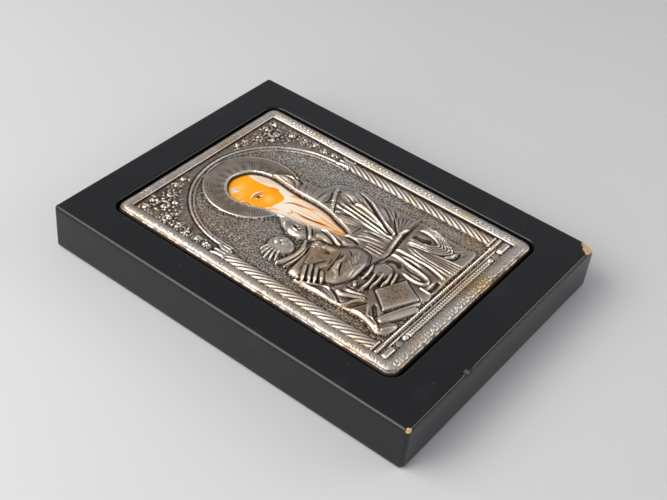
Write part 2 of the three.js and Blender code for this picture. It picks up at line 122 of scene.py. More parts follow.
def noise(x, y, size):
    """Smooth noise from -1 to 1: random values on a lattice of that size, blended between."""
    table = dice.uniform(-1.0, 1.0, (64, 64))
    u, v = x / size + 31.7, y / size + 17.3
    i, j = np.floor(u).astype(int), np.floor(v).astype(int)
    s, t = smoothstep(0, 1, u - i), smoothstep(0, 1, v - j)
    i, j = i % 64, j % 64
    k, m = (i + 1) % 64, (j + 1) % 64
    low = table[i, j] * (1 - s) + table[k, j] * s
    high = table[i, m] * (1 - s) + table[k, m] * s
    return low * (1 - t) + high * t


def curve(points, closed=False, samples=9):
    """A Catmull-Rom spline: on each span, the cubic that leaves one point towards the chord of
    its neighbours and reaches the next the same way."""
    p = np.asarray(points, float)
    if closed:
        a, b, c, d = np.roll(p, 1, 0), p, np.roll(p, -1, 0), np.roll(p, -2, 0)
    else:
        ends = np.vstack([2 * p[0] - p[1], p, 2 * p[-1] - p[-2]])
        a, b, c, d = ends[:-3], ends[1:-2], ends[2:-1], ends[3:]
    t = np.linspace(0, 1, samples, endpoint=False)[None, :, None]
    a, b, c, d = (q[:, None, :] for q in (a, b, c, d))
    line = 0.5 * (2 * b + (c - a) * t + (2 * a - 5 * b + 4 * c - d) * t**2
                  + (3 * b - a - 3 * c + d) * t**3)
    line = line.reshape(-1, 2)
    return line if closed else np.vstack([line, p[-1]])


def fade(share, ends):
    """1 along a line, falling smoothly to 0 over the given share of its length at each end."""
    return smoothstep(0, ends[0] + 1e-6, share) * smoothstep(0, ends[1] + 1e-6, 1 - share)


print("helpers ready")

# %% [markdown]
# ## A field: a picture made of heights
#
# Embossing is one sheet pushed up from behind, so it has one height at each place, and a height
# map can hold all of it. The field below is a square grid. Ridges, grooves and raised regions are
# added to it one after another, the way that a chaser works over a sheet. Each tool only touches
# the small window of the grid that it needs.

# %% The field
CHASED_WIDTH = 1.45
FAR = -9.0


class Field:
    """A grid of points in millimetres, with a height at each."""

    def __init__(self, left, right, bottom, top, step):
        self.xs = np.linspace(left, right, int(round((right - left) / step)) + 1)
        self.ys = np.linspace(bottom, top, int(round((top - bottom) / step)) + 1)
        self.x, self.y = np.meshgrid(self.xs, self.ys)
        self.height = np.zeros(self.x.shape)
        self.step = step

    def window(self, line, reach):
        """The rows and columns within reach of a line's box."""
        low, high = line.min(0) - reach, line.max(0) + reach
        rows = slice(*np.searchsorted(self.ys, (low[1], high[1])))
        columns = slice(*np.searchsorted(self.xs, (low[0], high[0])))
        return rows, columns

    def near(self, line, window):
        """Distance to a line of short straight pieces, and the share of its length there."""
        x, y = self.x[window][..., None], self.y[window][..., None]
        start, run = line[:-1], np.diff(line, axis=0)
        length = np.maximum(np.hypot(run[:, 0], run[:, 1]), 1e-9)
        along = (x - start[:, 0]) * run[:, 0] + (y - start[:, 1]) * run[:, 1]
        along = np.clip(along / length**2, 0, 1)
        gap = (x - start[:, 0] - along * run[:, 0]) ** 2
        gap += (y - start[:, 1] - along * run[:, 1]) ** 2
        nearest = gap.argmin(-1)[..., None]
        distance = np.sqrt(np.take_along_axis(gap, nearest, -1))[..., 0]
        before = np.concatenate([[0], np.cumsum(length)])
        part = np.take_along_axis(along, nearest, -1)[..., 0]
        share = (before[nearest[..., 0]] + part * length[nearest[..., 0]]) / before[-1]
        return distance, share

    def depth(self, line, window):
        """Distance to a closed line, positive inside it by the even-odd rule."""
        ring = np.vstack([line, line[:1]])
        distance, _ = self.near(ring, window)
        x, y = self.x[window][..., None], self.y[window][..., None]
        x0, y0, x1, y1 = ring[:-1, 0], ring[:-1, 1], ring[1:, 0], ring[1:, 1]
        rise = np.where(np.abs(y1 - y0) < 1e-9, 1e-9, y1 - y0)
        crossed = ((y0 > y) != (y1 > y)) & (x < x0 + (y - y0) * (x1 - x0) / rise)
        return np.where(crossed.sum(-1) % 2 == 1, distance, -distance)

    def depth_map(self, line, reach):
        """The depth inside a closed line near it, and FAR everywhere else."""
        whole = np.full(self.x.shape, FAR)
        window = self.window(line, reach)
        whole[window] = self.depth(line, window)
        return whole

    def ridge(self, points, width, height, ends=(0.3, 0.3), plump=1.0):
        """A fold along a spline: height (1 - (d / half width)^2)^plump, fading at its ends. A
        broad fold also has chased lines along it, from a cosine across it."""
        line = curve(points)
        window = self.window(line, width)
        distance, share = self.near(line, window)
        strength = fade(share, ends)
        across = np.clip(distance / (width / 2 * (0.4 + 0.6 * strength)), 0, 1)
        section = (1 - across**2) ** plump
        if width > CHASED_WIDTH:
            section += 0.13 * np.cos(3 * np.pi * across) * (1 - across**2)
        self.height[window] += height * strength * section

    def rib(self, points, width, level, ends=(0.25, 0.25), plump=0.5):
        """A separate rounded body, such as a finger: it stands at level, over what is there."""
        line = curve(points)
        window = self.window(line, width)
        distance, share = self.near(line, window)
        strength = fade(share, ends)
        across = distance / (width / 2 * (0.55 + 0.45 * strength))
        body = level * (0.82 + 0.18 * strength) * np.clip(1 - across**2, 0, 1) ** plump
        under = self.height[window]
        moat = 0.2 * np.clip(1 - np.abs(across - 1.12) / 0.3, 0, 1)
        self.height[window] = np.where(across < 1, np.maximum(under, body), under - moat)

    def groove(self, points, width, depth, ends=(0.2, 0.2)):
        """A chased line: a ridge turned downwards."""
        self.ridge(points, width, -depth, ends, 1.2)

    def fan(self, first, last, count, width, height, **look):
        """Ridges between two guide lines of as many points, no two quite alike."""
        first, last = np.array(first, float), np.array(last, float)
        for share in np.linspace(0, 1, count):
            share += dice.uniform(-0.18, 0.18) / count
            line = first + (last - first) * share
            self.ridge(line, width * dice.uniform(0.8, 1.35), height * dice.uniform(0.35, 0.85),
                       **look)

    def region(self, points, level, edge, moat=0.22, samples=7):
        """A raised shape: level sqrt(1 - (1 - d / edge)^2) inside its outline, and a chased line
        just outside it."""
        line = curve(points, closed=True, samples=samples)
        window = self.window(line, 1.5)
        depth = self.depth(line, window)
        t = np.clip(depth / edge, 0, 1)
        body = level * np.sqrt(1 - (1 - t) ** 2)
        under = self.height[window]
        line_cut = moat * np.clip(1 - np.abs(depth + 0.35) / 0.5, 0, 1)
        self.height[window] = np.where(depth > 0, np.maximum(under, body), under - line_cut)

    def dot(self, x, y, radius, height):
        """A bead: height sqrt(1 - (d / radius)^2)."""
        window = self.window(np.array([[x, y]]), radius)
        gap = ((self.x[window] - x) ** 2 + (self.y[window] - y) ** 2) / radius**2
        self.height[window] += height * np.sqrt(np.clip(1 - gap, 0, 1))


def blur(values, radius, step):
    """A soft average: three passes of a box of that radius, rows and columns in turn."""
    count = max(1, int(round(radius / step)))
    for axis in (0, 1) * 3:
        pad = [(0, 0), (0, 0)]
        pad[axis] = (count + 1, count)
        total = np.cumsum(np.pad(values, pad, mode="edge"), axis=axis)
        size = values.shape[axis]
        high = np.take(total, np.arange(2 * count + 1, 2 * count + 1 + size), axis)
        low = np.take(total, np.arange(size), axis)
        values = (high - low) / (2 * count + 1)
    return values


# The picture's ground lies below the block's face, and the border frames it.
STEP = 0.25
GROUND_DEPTH = 1.8
PICTURE_LEFT, PICTURE_RIGHT = -50.5, 50.5
PICTURE_BOTTOM, PICTURE_TOP = -71.5, 75.5
GROUND_Z = panel_high[2] - GROUND_DEPTH
sheet = Field(PICTURE_LEFT, PICTURE_RIGHT, PICTURE_BOTTOM, PICTURE_TOP, STEP)
print("picture", sheet.x.shape, "points, ground at", round(GROUND_Z, 2), "mm")

# %% [markdown]
# ## The ground, the halo and the arch
#
# The ground was beaten over pitch, so it isn't quite flat. The halo is a low disc with fine rays,
# a beaded ring and a rim. The arch is two thin mouldings over the figure, and everything on it is
# worked out from the distance to its centre.

# %% Ground, halo and arch
HALO_CENTRE = (-0.5, 46.0)
HALO_RADIUS = 24.0
HALO_RAYS = 92
HALO_BEADS = 140
ARCH_CENTRE = (0.6, 28.5)
ARCH_RADIUS = 42.6
SPRINGING = 22.0


def mound(distance, half):
    """A rounded line of that half width: sqrt(1 - (d / half)^2), and 0 outside it."""
    return np.sqrt(np.clip(1 - (distance / half) ** 2, 0, 1))


def beat_ground(field):
    """Soft dents over the whole ground."""
    field.height += 0.05 * noise(field.x, field.y, 7.0) + 0.035 * noise(field.x, field.y, 2.6)


def raise_halo(field):
    """A disc with rays cos(n a), beads on a ring and two rims, by radius r and angle a."""
    x, y = field.x - HALO_CENTRE[0], field.y - HALO_CENTRE[1]
    radius, angle = np.hypot(x, y), np.arctan2(y, x)
    disc = 0.5 * smoothstep(HALO_RADIUS + 0.3, HALO_RADIUS - 0.5, radius)
    dish = 0.25 * smoothstep(HALO_RADIUS - 2.5, HALO_RADIUS - 12, radius)
    inner = smoothstep(10.5, 12.5, radius) * smoothstep(21.3, 20.4, radius)
    leaf = 0.5 + 0.5 * np.cos(HALO_RAYS / 4 * angle)
    rays = inner * (0.17 * np.abs(np.cos(HALO_RAYS / 2 * angle)) ** 0.8
                    + 0.16 * leaf * smoothstep(20.6, 15, radius))
    pearls = 0.35 + 0.65 * np.abs(np.sin(HALO_BEADS / 2 * angle))
    beads = 0.26 * mound(radius - 22.0, 0.55) * pearls
    rim = 0.34 * mound(radius - HALO_RADIUS + 0.5, 0.6)
    line = 0.16 * mound(radius - 20.9, 0.35)
    moat = -0.3 * mound(radius - HALO_RADIUS - 0.45, 0.6)
    field.height += disc - dish + rays + beads + rim + line + moat


def raise_arch(field):
    """Two round mouldings and a groove, by distance from the arch's line."""
    x, y = field.x - ARCH_CENTRE[0], field.y - ARCH_CENTRE[1]
    above = np.hypot(x, np.maximum(y, 0)) - ARCH_RADIUS
    span = smoothstep(SPRINGING - 0.5, SPRINGING + 0.5, field.y)
    outside = smoothstep(0.2, 0.8, above) * span
    field.height += 0.35 * outside
    field.height += span * (0.75 * mound(above - 0.7, 0.75) + 0.55 * mound(above + 1.1, 0.6)
                            - 0.25 * mound(above - 1.7, 0.6) - 0.2 * mound(above + 2.1, 0.6))
    return outside


beat_ground(sheet)
raise_halo(sheet)
spandrel = raise_arch(sheet)
print("halo and arch, highest", round(float(sheet.height.max()), 2), "mm over the ground")

# %% [markdown]
# ## Leaf scrolls
#
# The corners over the arch hold acanthus scrolls: a stem that winds into a curl, with small
# leaves on its outer side. One function draws a scroll, and both corners use the same list,
# mirrored.

# %% Scrolls of the spandrels
def scroll(field, x, y, radius, turn, hand, height=0.75):
    """A spiral r (1 - k a) with a bead in its eye and lobes set round its outer side."""
    angles = turn + hand * np.linspace(0, 7.6, 15)
    reach = radius * (1 - 0.84 * np.linspace(0, 1, 15) ** 0.85)
    spiral = np.stack([x + reach * np.cos(angles), y + reach * np.sin(angles)], 1)
    field.ridge(spiral, 0.36 * radius + 0.6, height, ends=(0.35, 0.12), plump=0.8)
    field.dot(x, y, 0.22 * radius + 0.25, height)
    for a in turn + hand * np.linspace(-0.5, 4.1, 8):
        c, s = np.cos(a), np.sin(a)
        bend = 0.35 * hand * radius
        lobe = [(x + c * radius, y + s * radius),
                (x + c * radius * 1.25 - s * bend * 0.4, y + s * radius * 1.25 + c * bend * 0.4),
                (x + c * radius * 1.5 - s * bend, y + s * radius * 1.5 + c * bend)]
        field.ridge(lobe, 0.30 * radius + 0.5, height * 0.7, ends=(0.2, 0.5), plump=0.7)


CORNER_SCROLLS = [
    (40.3, 66.0, 3.7, 0.7), (32.3, 69.6, 2.6, 2.6), (45.9, 58.4, 2.9, 5.0), (25.6, 72.4, 1.7, 0.6),
    (46.9, 51.2, 2.1, 1.4), (47.2, 44.8, 1.9, 4.6), (47.2, 38.7, 1.8, 1.4), (47.2, 33.0, 1.6, 4.5),
    (47.3, 71.9, 2.0, 1.2), (40.6, 72.9, 1.5, 3.2), (19.6, 73.7, 1.2, 2.6), (35.6, 62.9, 1.3, 5.6),
]


def raise_spandrels(field, mask):
    """The scrolls of both corners, kept to the ground outside the arch."""
    before = field.height.copy()
    # Small loose leaves fill the ground between the scrolls.
    for _ in range(170):
        x, y = dice.uniform(16.0, 49.5), dice.uniform(27.0, 74.5)
        if np.hypot(x - ARCH_CENTRE[0], y - ARCH_CENTRE[1]) < ARCH_RADIUS + 2.6:
            continue
        turn, size = dice.uniform(0, 2 * np.pi), dice.uniform(0.9, 1.7)
        c, s = np.cos(turn) * size, np.sin(turn) * size
        bend = dice.uniform(-0.5, 0.5)
        for side in (-1, 1):
            leaf = [(side * (x - c), y - s), (side * (x - bend * s), y + bend * c),
                    (side * (x + c), y + s)]
            field.ridge(leaf, 1.0, 0.42, ends=(0.3, 0.3), plump=0.7)
    for x, y, radius, turn in CORNER_SCROLLS:
        scroll(field, x, y, radius, turn, 1)
        scroll(field, -x, y, radius, np.pi - turn, -1)
    pebbles = 0.1 * noise(field.x, field.y, 1.1)
    field.height[:] = before + (field.height - before + pebbles) * mask


raise_spandrels(sheet, spandrel)
print(2 * len(CORNER_SCROLLS), "scrolls")

# %% [markdown]
# ## Twisted columns and the base
#
# A rope-twisted column is a half round whose surface is cut by slanting grooves. Across it the
# height follows a circle, and along it a rounded wave that leans with x. The base is a set of
# straight mouldings: a row of beads, a band of fine knots, bosses and plain blocks.

# %% Columns and base
COLUMNS = ((-46.8, 3.0), (46.4, 3.1))
COLUMN_BASE = -62.8
ROPE_PITCH = 4.15
ROPE_LEAN = 2.0
BEADS_Y, BEAD_PITCH = -64.6, 1.4
BAND_Y = -68.9


def raise_columns(field):
    """Half rounds with a leaning wave |sin(pi s)|^0.4, leaf capitals and a plain foot."""
    for x0, half in COLUMNS:
        across = (field.x - x0) / half
        shaft = mound(across, 1.0)
        body = smoothstep(COLUMN_BASE, COLUMN_BASE + 0.6, field.y)
        body *= smoothstep(SPRINGING - 0.8, SPRINGING - 1.6, field.y)
        twist = np.sign(x0) * ROPE_LEAN * (field.x - x0)
        wave = np.abs(np.sin(np.pi * (field.y - twist) / ROPE_PITCH)) ** 0.4
        rope = body * shaft * (0.25 + 1.25 * wave)
        gap = -0.35 * body * mound(np.abs(across) - 1.15, 0.22)
        field.height[:] = np.where(np.abs(across) < 1, np.maximum(field.height * (1 - body), 0)
                                   + rope, field.height + gap)
        for lean in (-1.0, 0.0, 1.0):
            foot = x0 + lean * 1.9
            field.rib([(foot, SPRINGING - 0.6), (foot + 0.1 * lean, SPRINGING + 3.0),
                       (foot + 1.2 * lean, SPRINGING + 6.0)], 2.3, 1.6, ends=(0.05, 0.5))
            field.groove([(foot, SPRINGING + 0.4), (foot + 0.3 * lean, SPRINGING + 4.4)],
                         0.6, 0.4)
        for level in (SPRINGING - 0.9, COLUMN_BASE + 0.6):
            bar = mound(field.y - level, 0.7) * smoothstep(half + 0.7, half + 0.2,
                                                           np.abs(field.x - x0))
            field.height[:] = np.maximum(field.height, 1.5 * bar)


def bar(field, left, right, bottom, top, level, edge=0.35):
    """A straight raised bar with rounded edges, over what is there."""
    inset = np.minimum(np.minimum(field.x - left, right - field.x),
                       np.minimum(field.y - bottom, top - field.y))
    t = np.clip(inset / edge, 0, 1)
    body = np.maximum(field.height, level * np.sqrt(1 - (1 - t) ** 2))
    line_cut = 0.25 * np.clip(1 - np.abs(inset + 0.3) / 0.4, 0, 1)
    field.height[:] = np.where(inset > 0, body, field.height - line_cut)


def raise_base(field):
    """Beads, bars and a band of fine knots under the figure, each by its distance from a line."""
    x, y = field.x, field.y
    foot = smoothstep(COLUMN_BASE - 0.1, COLUMN_BASE - 0.5, y)
    field.height *= 1 - foot
    bar(field, -50.3, -43.2, -65.6, -63.7, 1.5)
    bar(field, 40.4, 50.3, -65.6, -63.7, 1.5)
    beads = np.abs(np.sin(np.pi * x / BEAD_PITCH)) ** 0.8 * mound(y - BEADS_Y, 0.95)
    run = smoothstep(-43.2, -42.9, x) * smoothstep(40.4, 40.1, x)
    field.height += run * (2.1 * beads - 0.2) * mound(y - BEADS_Y, 1.1)
    bar(field, -50.3, 50.3, -66.9, -66.3, 0.9, 0.25)
    bar(field, -31.6, 32.6, -70.5, -67.2, 0.55, 0.3)
    waves = np.sin(np.pi * x / 1.6) * np.sin(np.pi * (y + 0.15) / 1.3)
    knots = mound(y - BAND_Y, 1.3) * np.abs(waves)
    field.height += 0.9 * knots * smoothstep(-31.4, -31.0, x) * smoothstep(32.4, 32.0, x)
    bar(field, -50.0, -42.6, -70.4, -67.2, 1.35, 0.7)
    bar(field, 42.4, 50.2, -70.4, -67.2, 1.35, 0.7)
    for side, x0 in ((-1, -33.6), (1, 34.6)):
        field.dot(x0, BAND_Y, 1.6, 1.5)
        flower = x0 + side * 4.7
        for a in np.arange(6) * np.pi / 3:
            field.dot(flower + 1.1 * np.cos(a), BAND_Y + 1.1 * np.sin(a), 0.7, 0.5)
        field.dot(flower, BAND_Y, 0.55, 0.7)
    bar(field, -50.3, 50.3, -71.4, -70.9, 0.9, 0.25)


raise_columns(sheet)
raise_base(sheet)
print("columns with", int((SPRINGING - COLUMN_BASE) / ROPE_PITCH), "turns each")

# %% [markdown]
# ## Letters that aren't letters
#
# Beside the halo the sheet names its saint in small embossed letters. This copy keeps the place
# and the rhythm of them as short strokes in two upright columns, and says nothing.

# %% Strokes beside the halo
def raise_strokes(field, x, top, bottom, rows):
    """Rows of two or three short upright or slanting strokes, drawn with the seeded dice."""
    for y in np.linspace(top, bottom, rows):
        for dx in (-1.2, 0.1, 1.4):
            lean, length = dice.uniform(-0.5, 0.5), dice.uniform(0.7, 1.2)
            field.ridge([(x + dx - lean, y - length), (x + dx, y), (x + dx + lean, y + length)],
                        0.75, 0.24, ends=(0.1, 0.1), plump=0.6)


raise_strokes(sheet, -34.3, 44.0, 22.0, 7)
raise_strokes(sheet, 33.6, 42.0, 23.5, 6)
print("two columns of strokes")

# %% [markdown]
# ## The robe
#
# The saint's robe is one raised region with long folds on it. Folds gather where the cloth is
# held, at the waist and under the arm, and spread where it is free. So most of them are drawn as
# fans: a first line, a last line and how many lie between. Deep hollows are grooves, which the
# tarnish will darken.

# %% Robe, upper part
ROBE = 1.35
MANTLE = 1.15


def raise_robe(field):
    """The region of the upper robe, then its folds from the neck down to the waist."""
    field.region([
        (-6, 27), (-9.5, 21.5), (-13, 17), (-15.6, 11), (-15.2, 5), (-13, 2), (-11, -4),
        (-9.5, -12), (-9, -22), (-10, -31), (0, -32), (14, -31), (27, -30.5), (34.6, -30),
        (35.2, -24), (34.6, -8), (34.2, 4), (32.8, 11.4), (30.4, 16.6), (26, 19.2), (22.4, 20.6),
        (21.6, 25), (21.2, 29), (18.6, 34.4), (16.4, 41), (12.6, 43.6), (8, 36), (2, 30),
    ], ROBE, 2.6)
    # The hood behind the neck: soft curls and a dark pocket.
    field.rib([(12.4, 43.8), (14.8, 40), (14.6, 35.4), (12.2, 31)], 3.6, 1.9, plump=0.6)
    field.rib([(15.8, 41.4), (18, 36.6), (16.4, 31.6), (12.6, 28.6)], 2.2, 1.75, plump=0.6)
    field.ridge([(19.4, 36), (21, 32), (21.4, 27.4)], 1.3, 0.5)
    field.groove([(17.6, 35), (18.6, 31), (16.4, 28.4)], 2.0, 0.8)
    # Folds of the neck spread from the beard over the shoulder.
    field.fan([(11.4, 24.2), (15, 27), (20.4, 28.6)], [(11.4, 14.4), (16, 15.4), (24, 15.0)],
              6, 1.9, 0.62, ends=(0.12, 0.6), plump=0.75)
    field.fan([(11.4, 22.6), (15.4, 25), (21, 26)], [(11.4, 16), (16, 17), (24, 16.8)],
              4, 0.8, -0.4, ends=(0.1, 0.5))
    field.groove([(11.6, 13.2), (15.4, 12), (20, 13), (23.6, 15.6)], 1.1, 0.5)
    field.groove([(23.6, 13.4), (25.4, 12), (26, 11)], 1.6, 0.7)
    # The edge of the mantle over the shoulder.
    field.ridge([(10.4, 5.6), (15, 8.4), (20.4, 11.6), (25.4, 13.8), (29.6, 15.6)], 2.0, 0.75,
                ends=(0.1, 0.3), plump=0.7)
    field.groove([(9.4, 3.6), (13.4, 6.2), (17.6, 8.6)], 1.0, 0.5)
    # The upper arm, a broad round form.
    field.ridge([(25.6, 12.4), (25.6, 6), (23.4, 0.6)], 8.6, 0.85, ends=(0.4, 0.4), plump=1.3)
    field.ridge([(30.6, 7.4), (28.4, 2.6), (26.4, -4)], 2.4, 0.75, ends=(0.2, 0.4))


def fold_breast(field):
    """Long folds that fall from the shoulder and gather at the waist."""
    field.ridge([(10.6, 3), (9.6, -2), (11, -7), (12, -13)], 4.6, 0.8, ends=(0.3, 0.4), plump=1.1)
    field.ridge([(13.4, 5), (11.8, 0), (13, -6), (12.8, -14)], 1.6, 0.55)
    field.ridge([(18, 9.4), (15.4, 4.6), (15, -3), (13.8, -14), (13.4, -27)], 1.9, 0.95,
                ends=(0.25, 0.1), plump=0.8)
    field.groove([(15.2, 6), (14.2, 1), (14.2, -4)], 1.1, 0.65)
    field.groove([(18.6, 8.8), (16.8, 3.4), (16, -4), (14.6, -14), (13.7, -28)], 1.7, 1.15,
                 ends=(0.15, 0.05))
    field.ridge([(20.4, 9), (18, 3), (16.9, -5), (15.4, -15), (14.2, -28)], 1.35, 1.2,
                ends=(0.2, 0.05), plump=0.7)
    field.groove([(21, 7.4), (19.4, 0), (18.6, -7), (17.2, -15), (15.2, -27)], 2.9, 1.3,
                 ends=(0.2, 0.1))
    field.ridge([(21.4, 1.6), (23.4, -0.6), (23, -6), (21.4, -12), (17.6, -22)], 2.2, 1.0,
                ends=(0.1, 0.25), plump=0.8)
    field.groove([(23.6, 0.6), (24.6, -3), (23.2, -9), (19.6, -18)], 1.2, 0.6)
    field.ridge([(28, 0), (26.4, -5), (22.4, -13), (18, -23)], 2.0, 0.85, plump=0.8)
    field.groove([(32.2, 5.6), (29.2, -1.4), (25, -8.6), (20, -17.6), (16.8, -26)], 1.9, 1.25,
                 ends=(0.1, 0.05))
    field.ridge([(31.6, -0.6), (27.4, -8), (22.2, -16.4), (17.2, -26.6)], 1.9, 1.15,
                ends=(0.2, 0.05), plump=0.7)
    # The panel under the arm, and the rays that meet at the waist.
    field.ridge([(29.4, -9), (26.4, -14.4), (21.8, -21)], 6.4, 0.6, ends=(0.3, 0.4), plump=1.2)
    field.groove([(31, -17.6), (25.4, -20.6), (17.8, -27.4)], 1.2, 0.75, ends=(0.4, 0.05))
    field.fan([(30.8, -18), (25.6, -22), (18, -27.6)], [(33.8, -27.8), (27, -27.8), (18.6, -28.8)],
              5, 1.35, 0.75, ends=(0.3, 0.08), plump=0.7)
    field.fan([(31.4, -19.4), (26, -22.8), (18.4, -27.8)], [(33.6, -26.4), (27, -26.6),
              (18.6, -28.5)], 4, 0.7, -0.45, ends=(0.2, 0.1))
    # Below the beard.
    field.fan([(1.8, -12.4), (4.6, -19.6), (6.6, -30)], [(9.6, -12.8), (11.4, -18), (12.2, -29)],
              4, 1.9, 0.75, ends=(0.2, 0.15), plump=0.8)
    field.fan([(3.4, -12.4), (6.4, -20), (8.4, -30)], [(8.4, -13), (10.6, -19), (11.4, -29)],
              3, 0.9, -0.55, ends=(0.15, 0.1))
    field.fan([(-0.6, -20.6), (-0.4, -25), (-0.4, -31)], [(3.6, -19.4), (3.8, -25), (4, -31)],
              3, 1.5, 0.6, ends=(0.2, 0.1), plump=0.8)
    field.groove([(2.4, -10.6), (6, -11.2), (11.4, -11.8)], 0.8, 0.5)


def fold_fine(field):
    """Shallow creases over the broad parts of the cloth, each a short bent line between two
    guide lines, so that no part of it is bare."""
    creases = [
        ([(24, 10), (22, 4), (19.6, -2)], [(32.6, 6), (31, 0), (28.6, -6)], 7),
        ([(31.4, -4), (27, -12), (21.6, -20)], [(34, -16), (30, -20), (24, -25)], 7),
        ([(12, 12.6), (16, 10), (19, 6)], [(11, 4), (12.4, 0), (12.4, -4)], 5),
        ([(2.6, -13), (5, -20), (6.6, -29)], [(12, -13), (12.6, -20), (13, -28)], 6),
        ([(-11.6, 14), (-14, 10), (-13, 5)], [(-8.6, 12), (-9.6, 9), (-9, 7)], 4),
        ([(-5, 2), (-6, -4), (-8.6, -11)], [(-1.6, -3), (-2.4, -10), (-3, -17)], 5),
        ([(31.8, -30.6), (33.4, -38), (32.6, -47)], [(22, -52), (26, -57), (31, -60)], 7),
        ([(6, -35), (6.4, -43), (5.4, -52)], [(9, -34), (9.2, -43), (8, -53)], 3),
        ([(-37.6, -14), (-37.6, -22), (-37.6, -30)], [(-34, -22), (-35, -27), (-36.4, -32)], 3),
        ([(-37.4, -42), (-37.4, -48), (-39, -55)], [(-34.6, -42), (-34.4, -47), (-36.4, -53)], 3),
        ([(-31, -28), (-24, -30), (-17, -33)], [(-25, -42), (-22, -40), (-18, -37)], 5),
    ]
    for first, last, count in creases:
        first, last = np.array(first, float), np.array(last, float)
        for share in np.linspace(0, 1, count):
            line = first + (last - first) * share + dice.uniform(-0.5, 0.5, first.shape)
            depth = dice.uniform(0.18, 0.5) * dice.choice((-1, 1, 1))
            field.ridge(line, dice.uniform(0.8, 1.6), depth, ends=(0.35, 0.35))


def fold_far_shoulder(field):
    """Nested bows on the far shoulder, the two bands of the collar, and what falls from it."""
    for grow in (0.0, 1.7, 3.3):
        field.ridge([(-10.6 - 0.5 * grow, 14.4), (-12.2 - grow, 10.2), (-10.8 - grow, 6.6),
                     (-9 - 0.6 * grow, 5.4 - 0.7 * grow)], 1.5, 0.55, ends=(0.25, 0.2), plump=0.7)
    field.groove([(-9.4, 13), (-9.6, 10.4), (-8.6, 8.4)], 1.3, 0.8)
    field.ridge([(-12.6, 16), (-9.6, 17.2), (-7.4, 15.6)], 1.4, 0.5)
    field.groove([(-13.4, 1.4), (-8.8, 5.4), (-4.8, 9.6)], 0.9, 0.6, ends=(0.05, 0.05))
    field.ridge([(-12.4, 0.6), (-7.6, 4.8), (-3.8, 8.6)], 1.5, 0.7, ends=(0.1, 0.1), plump=0.7)
    field.groove([(-10.6, 0.4), (-6.4, 3.8), (-2.8, 7)], 0.7, 0.5)
    field.ridge([(-8.4, 1.2), (-7, -3), (-8, -8.6)], 3.2, 0.65, ends=(0.2, 0.35))
    field.groove([(-3.4, 2), (-5.4, -5), (-8.4, -12.6)], 1.5, 0.95, ends=(0.15, 0.1))
    field.ridge([(-1.8, 1), (-3.8, -5), (-6.8, -13)], 1.3, 1.0, ends=(0.15, 0.1), plump=0.7)
    field.groove([(-0.8, -2), (0.8, -9), (1, -15), (-0.8, -19.6)], 2.4, 0.9, ends=(0.2, 0.2))
    field.ridge([(-3, -10), (-3.6, -14), (-1.6, -18.4)], 3.0, 0.55)


raise_robe(sheet)
fold_breast(sheet)
fold_far_shoulder(sheet)
print("upper robe, highest", round(float(sheet.height.max()), 2), "mm")

# %% [markdown]
# ## The lap, the stole and the sleeve
#
# Below the waist the robe covers the knees. A sleeve hangs in a loop at the right: folds that
# repeat the same U shape, each larger than the last. The stole's end is a U of its own at the
# left, and fine folds fall straight between them.

# %% Lap
LAP = 1.25


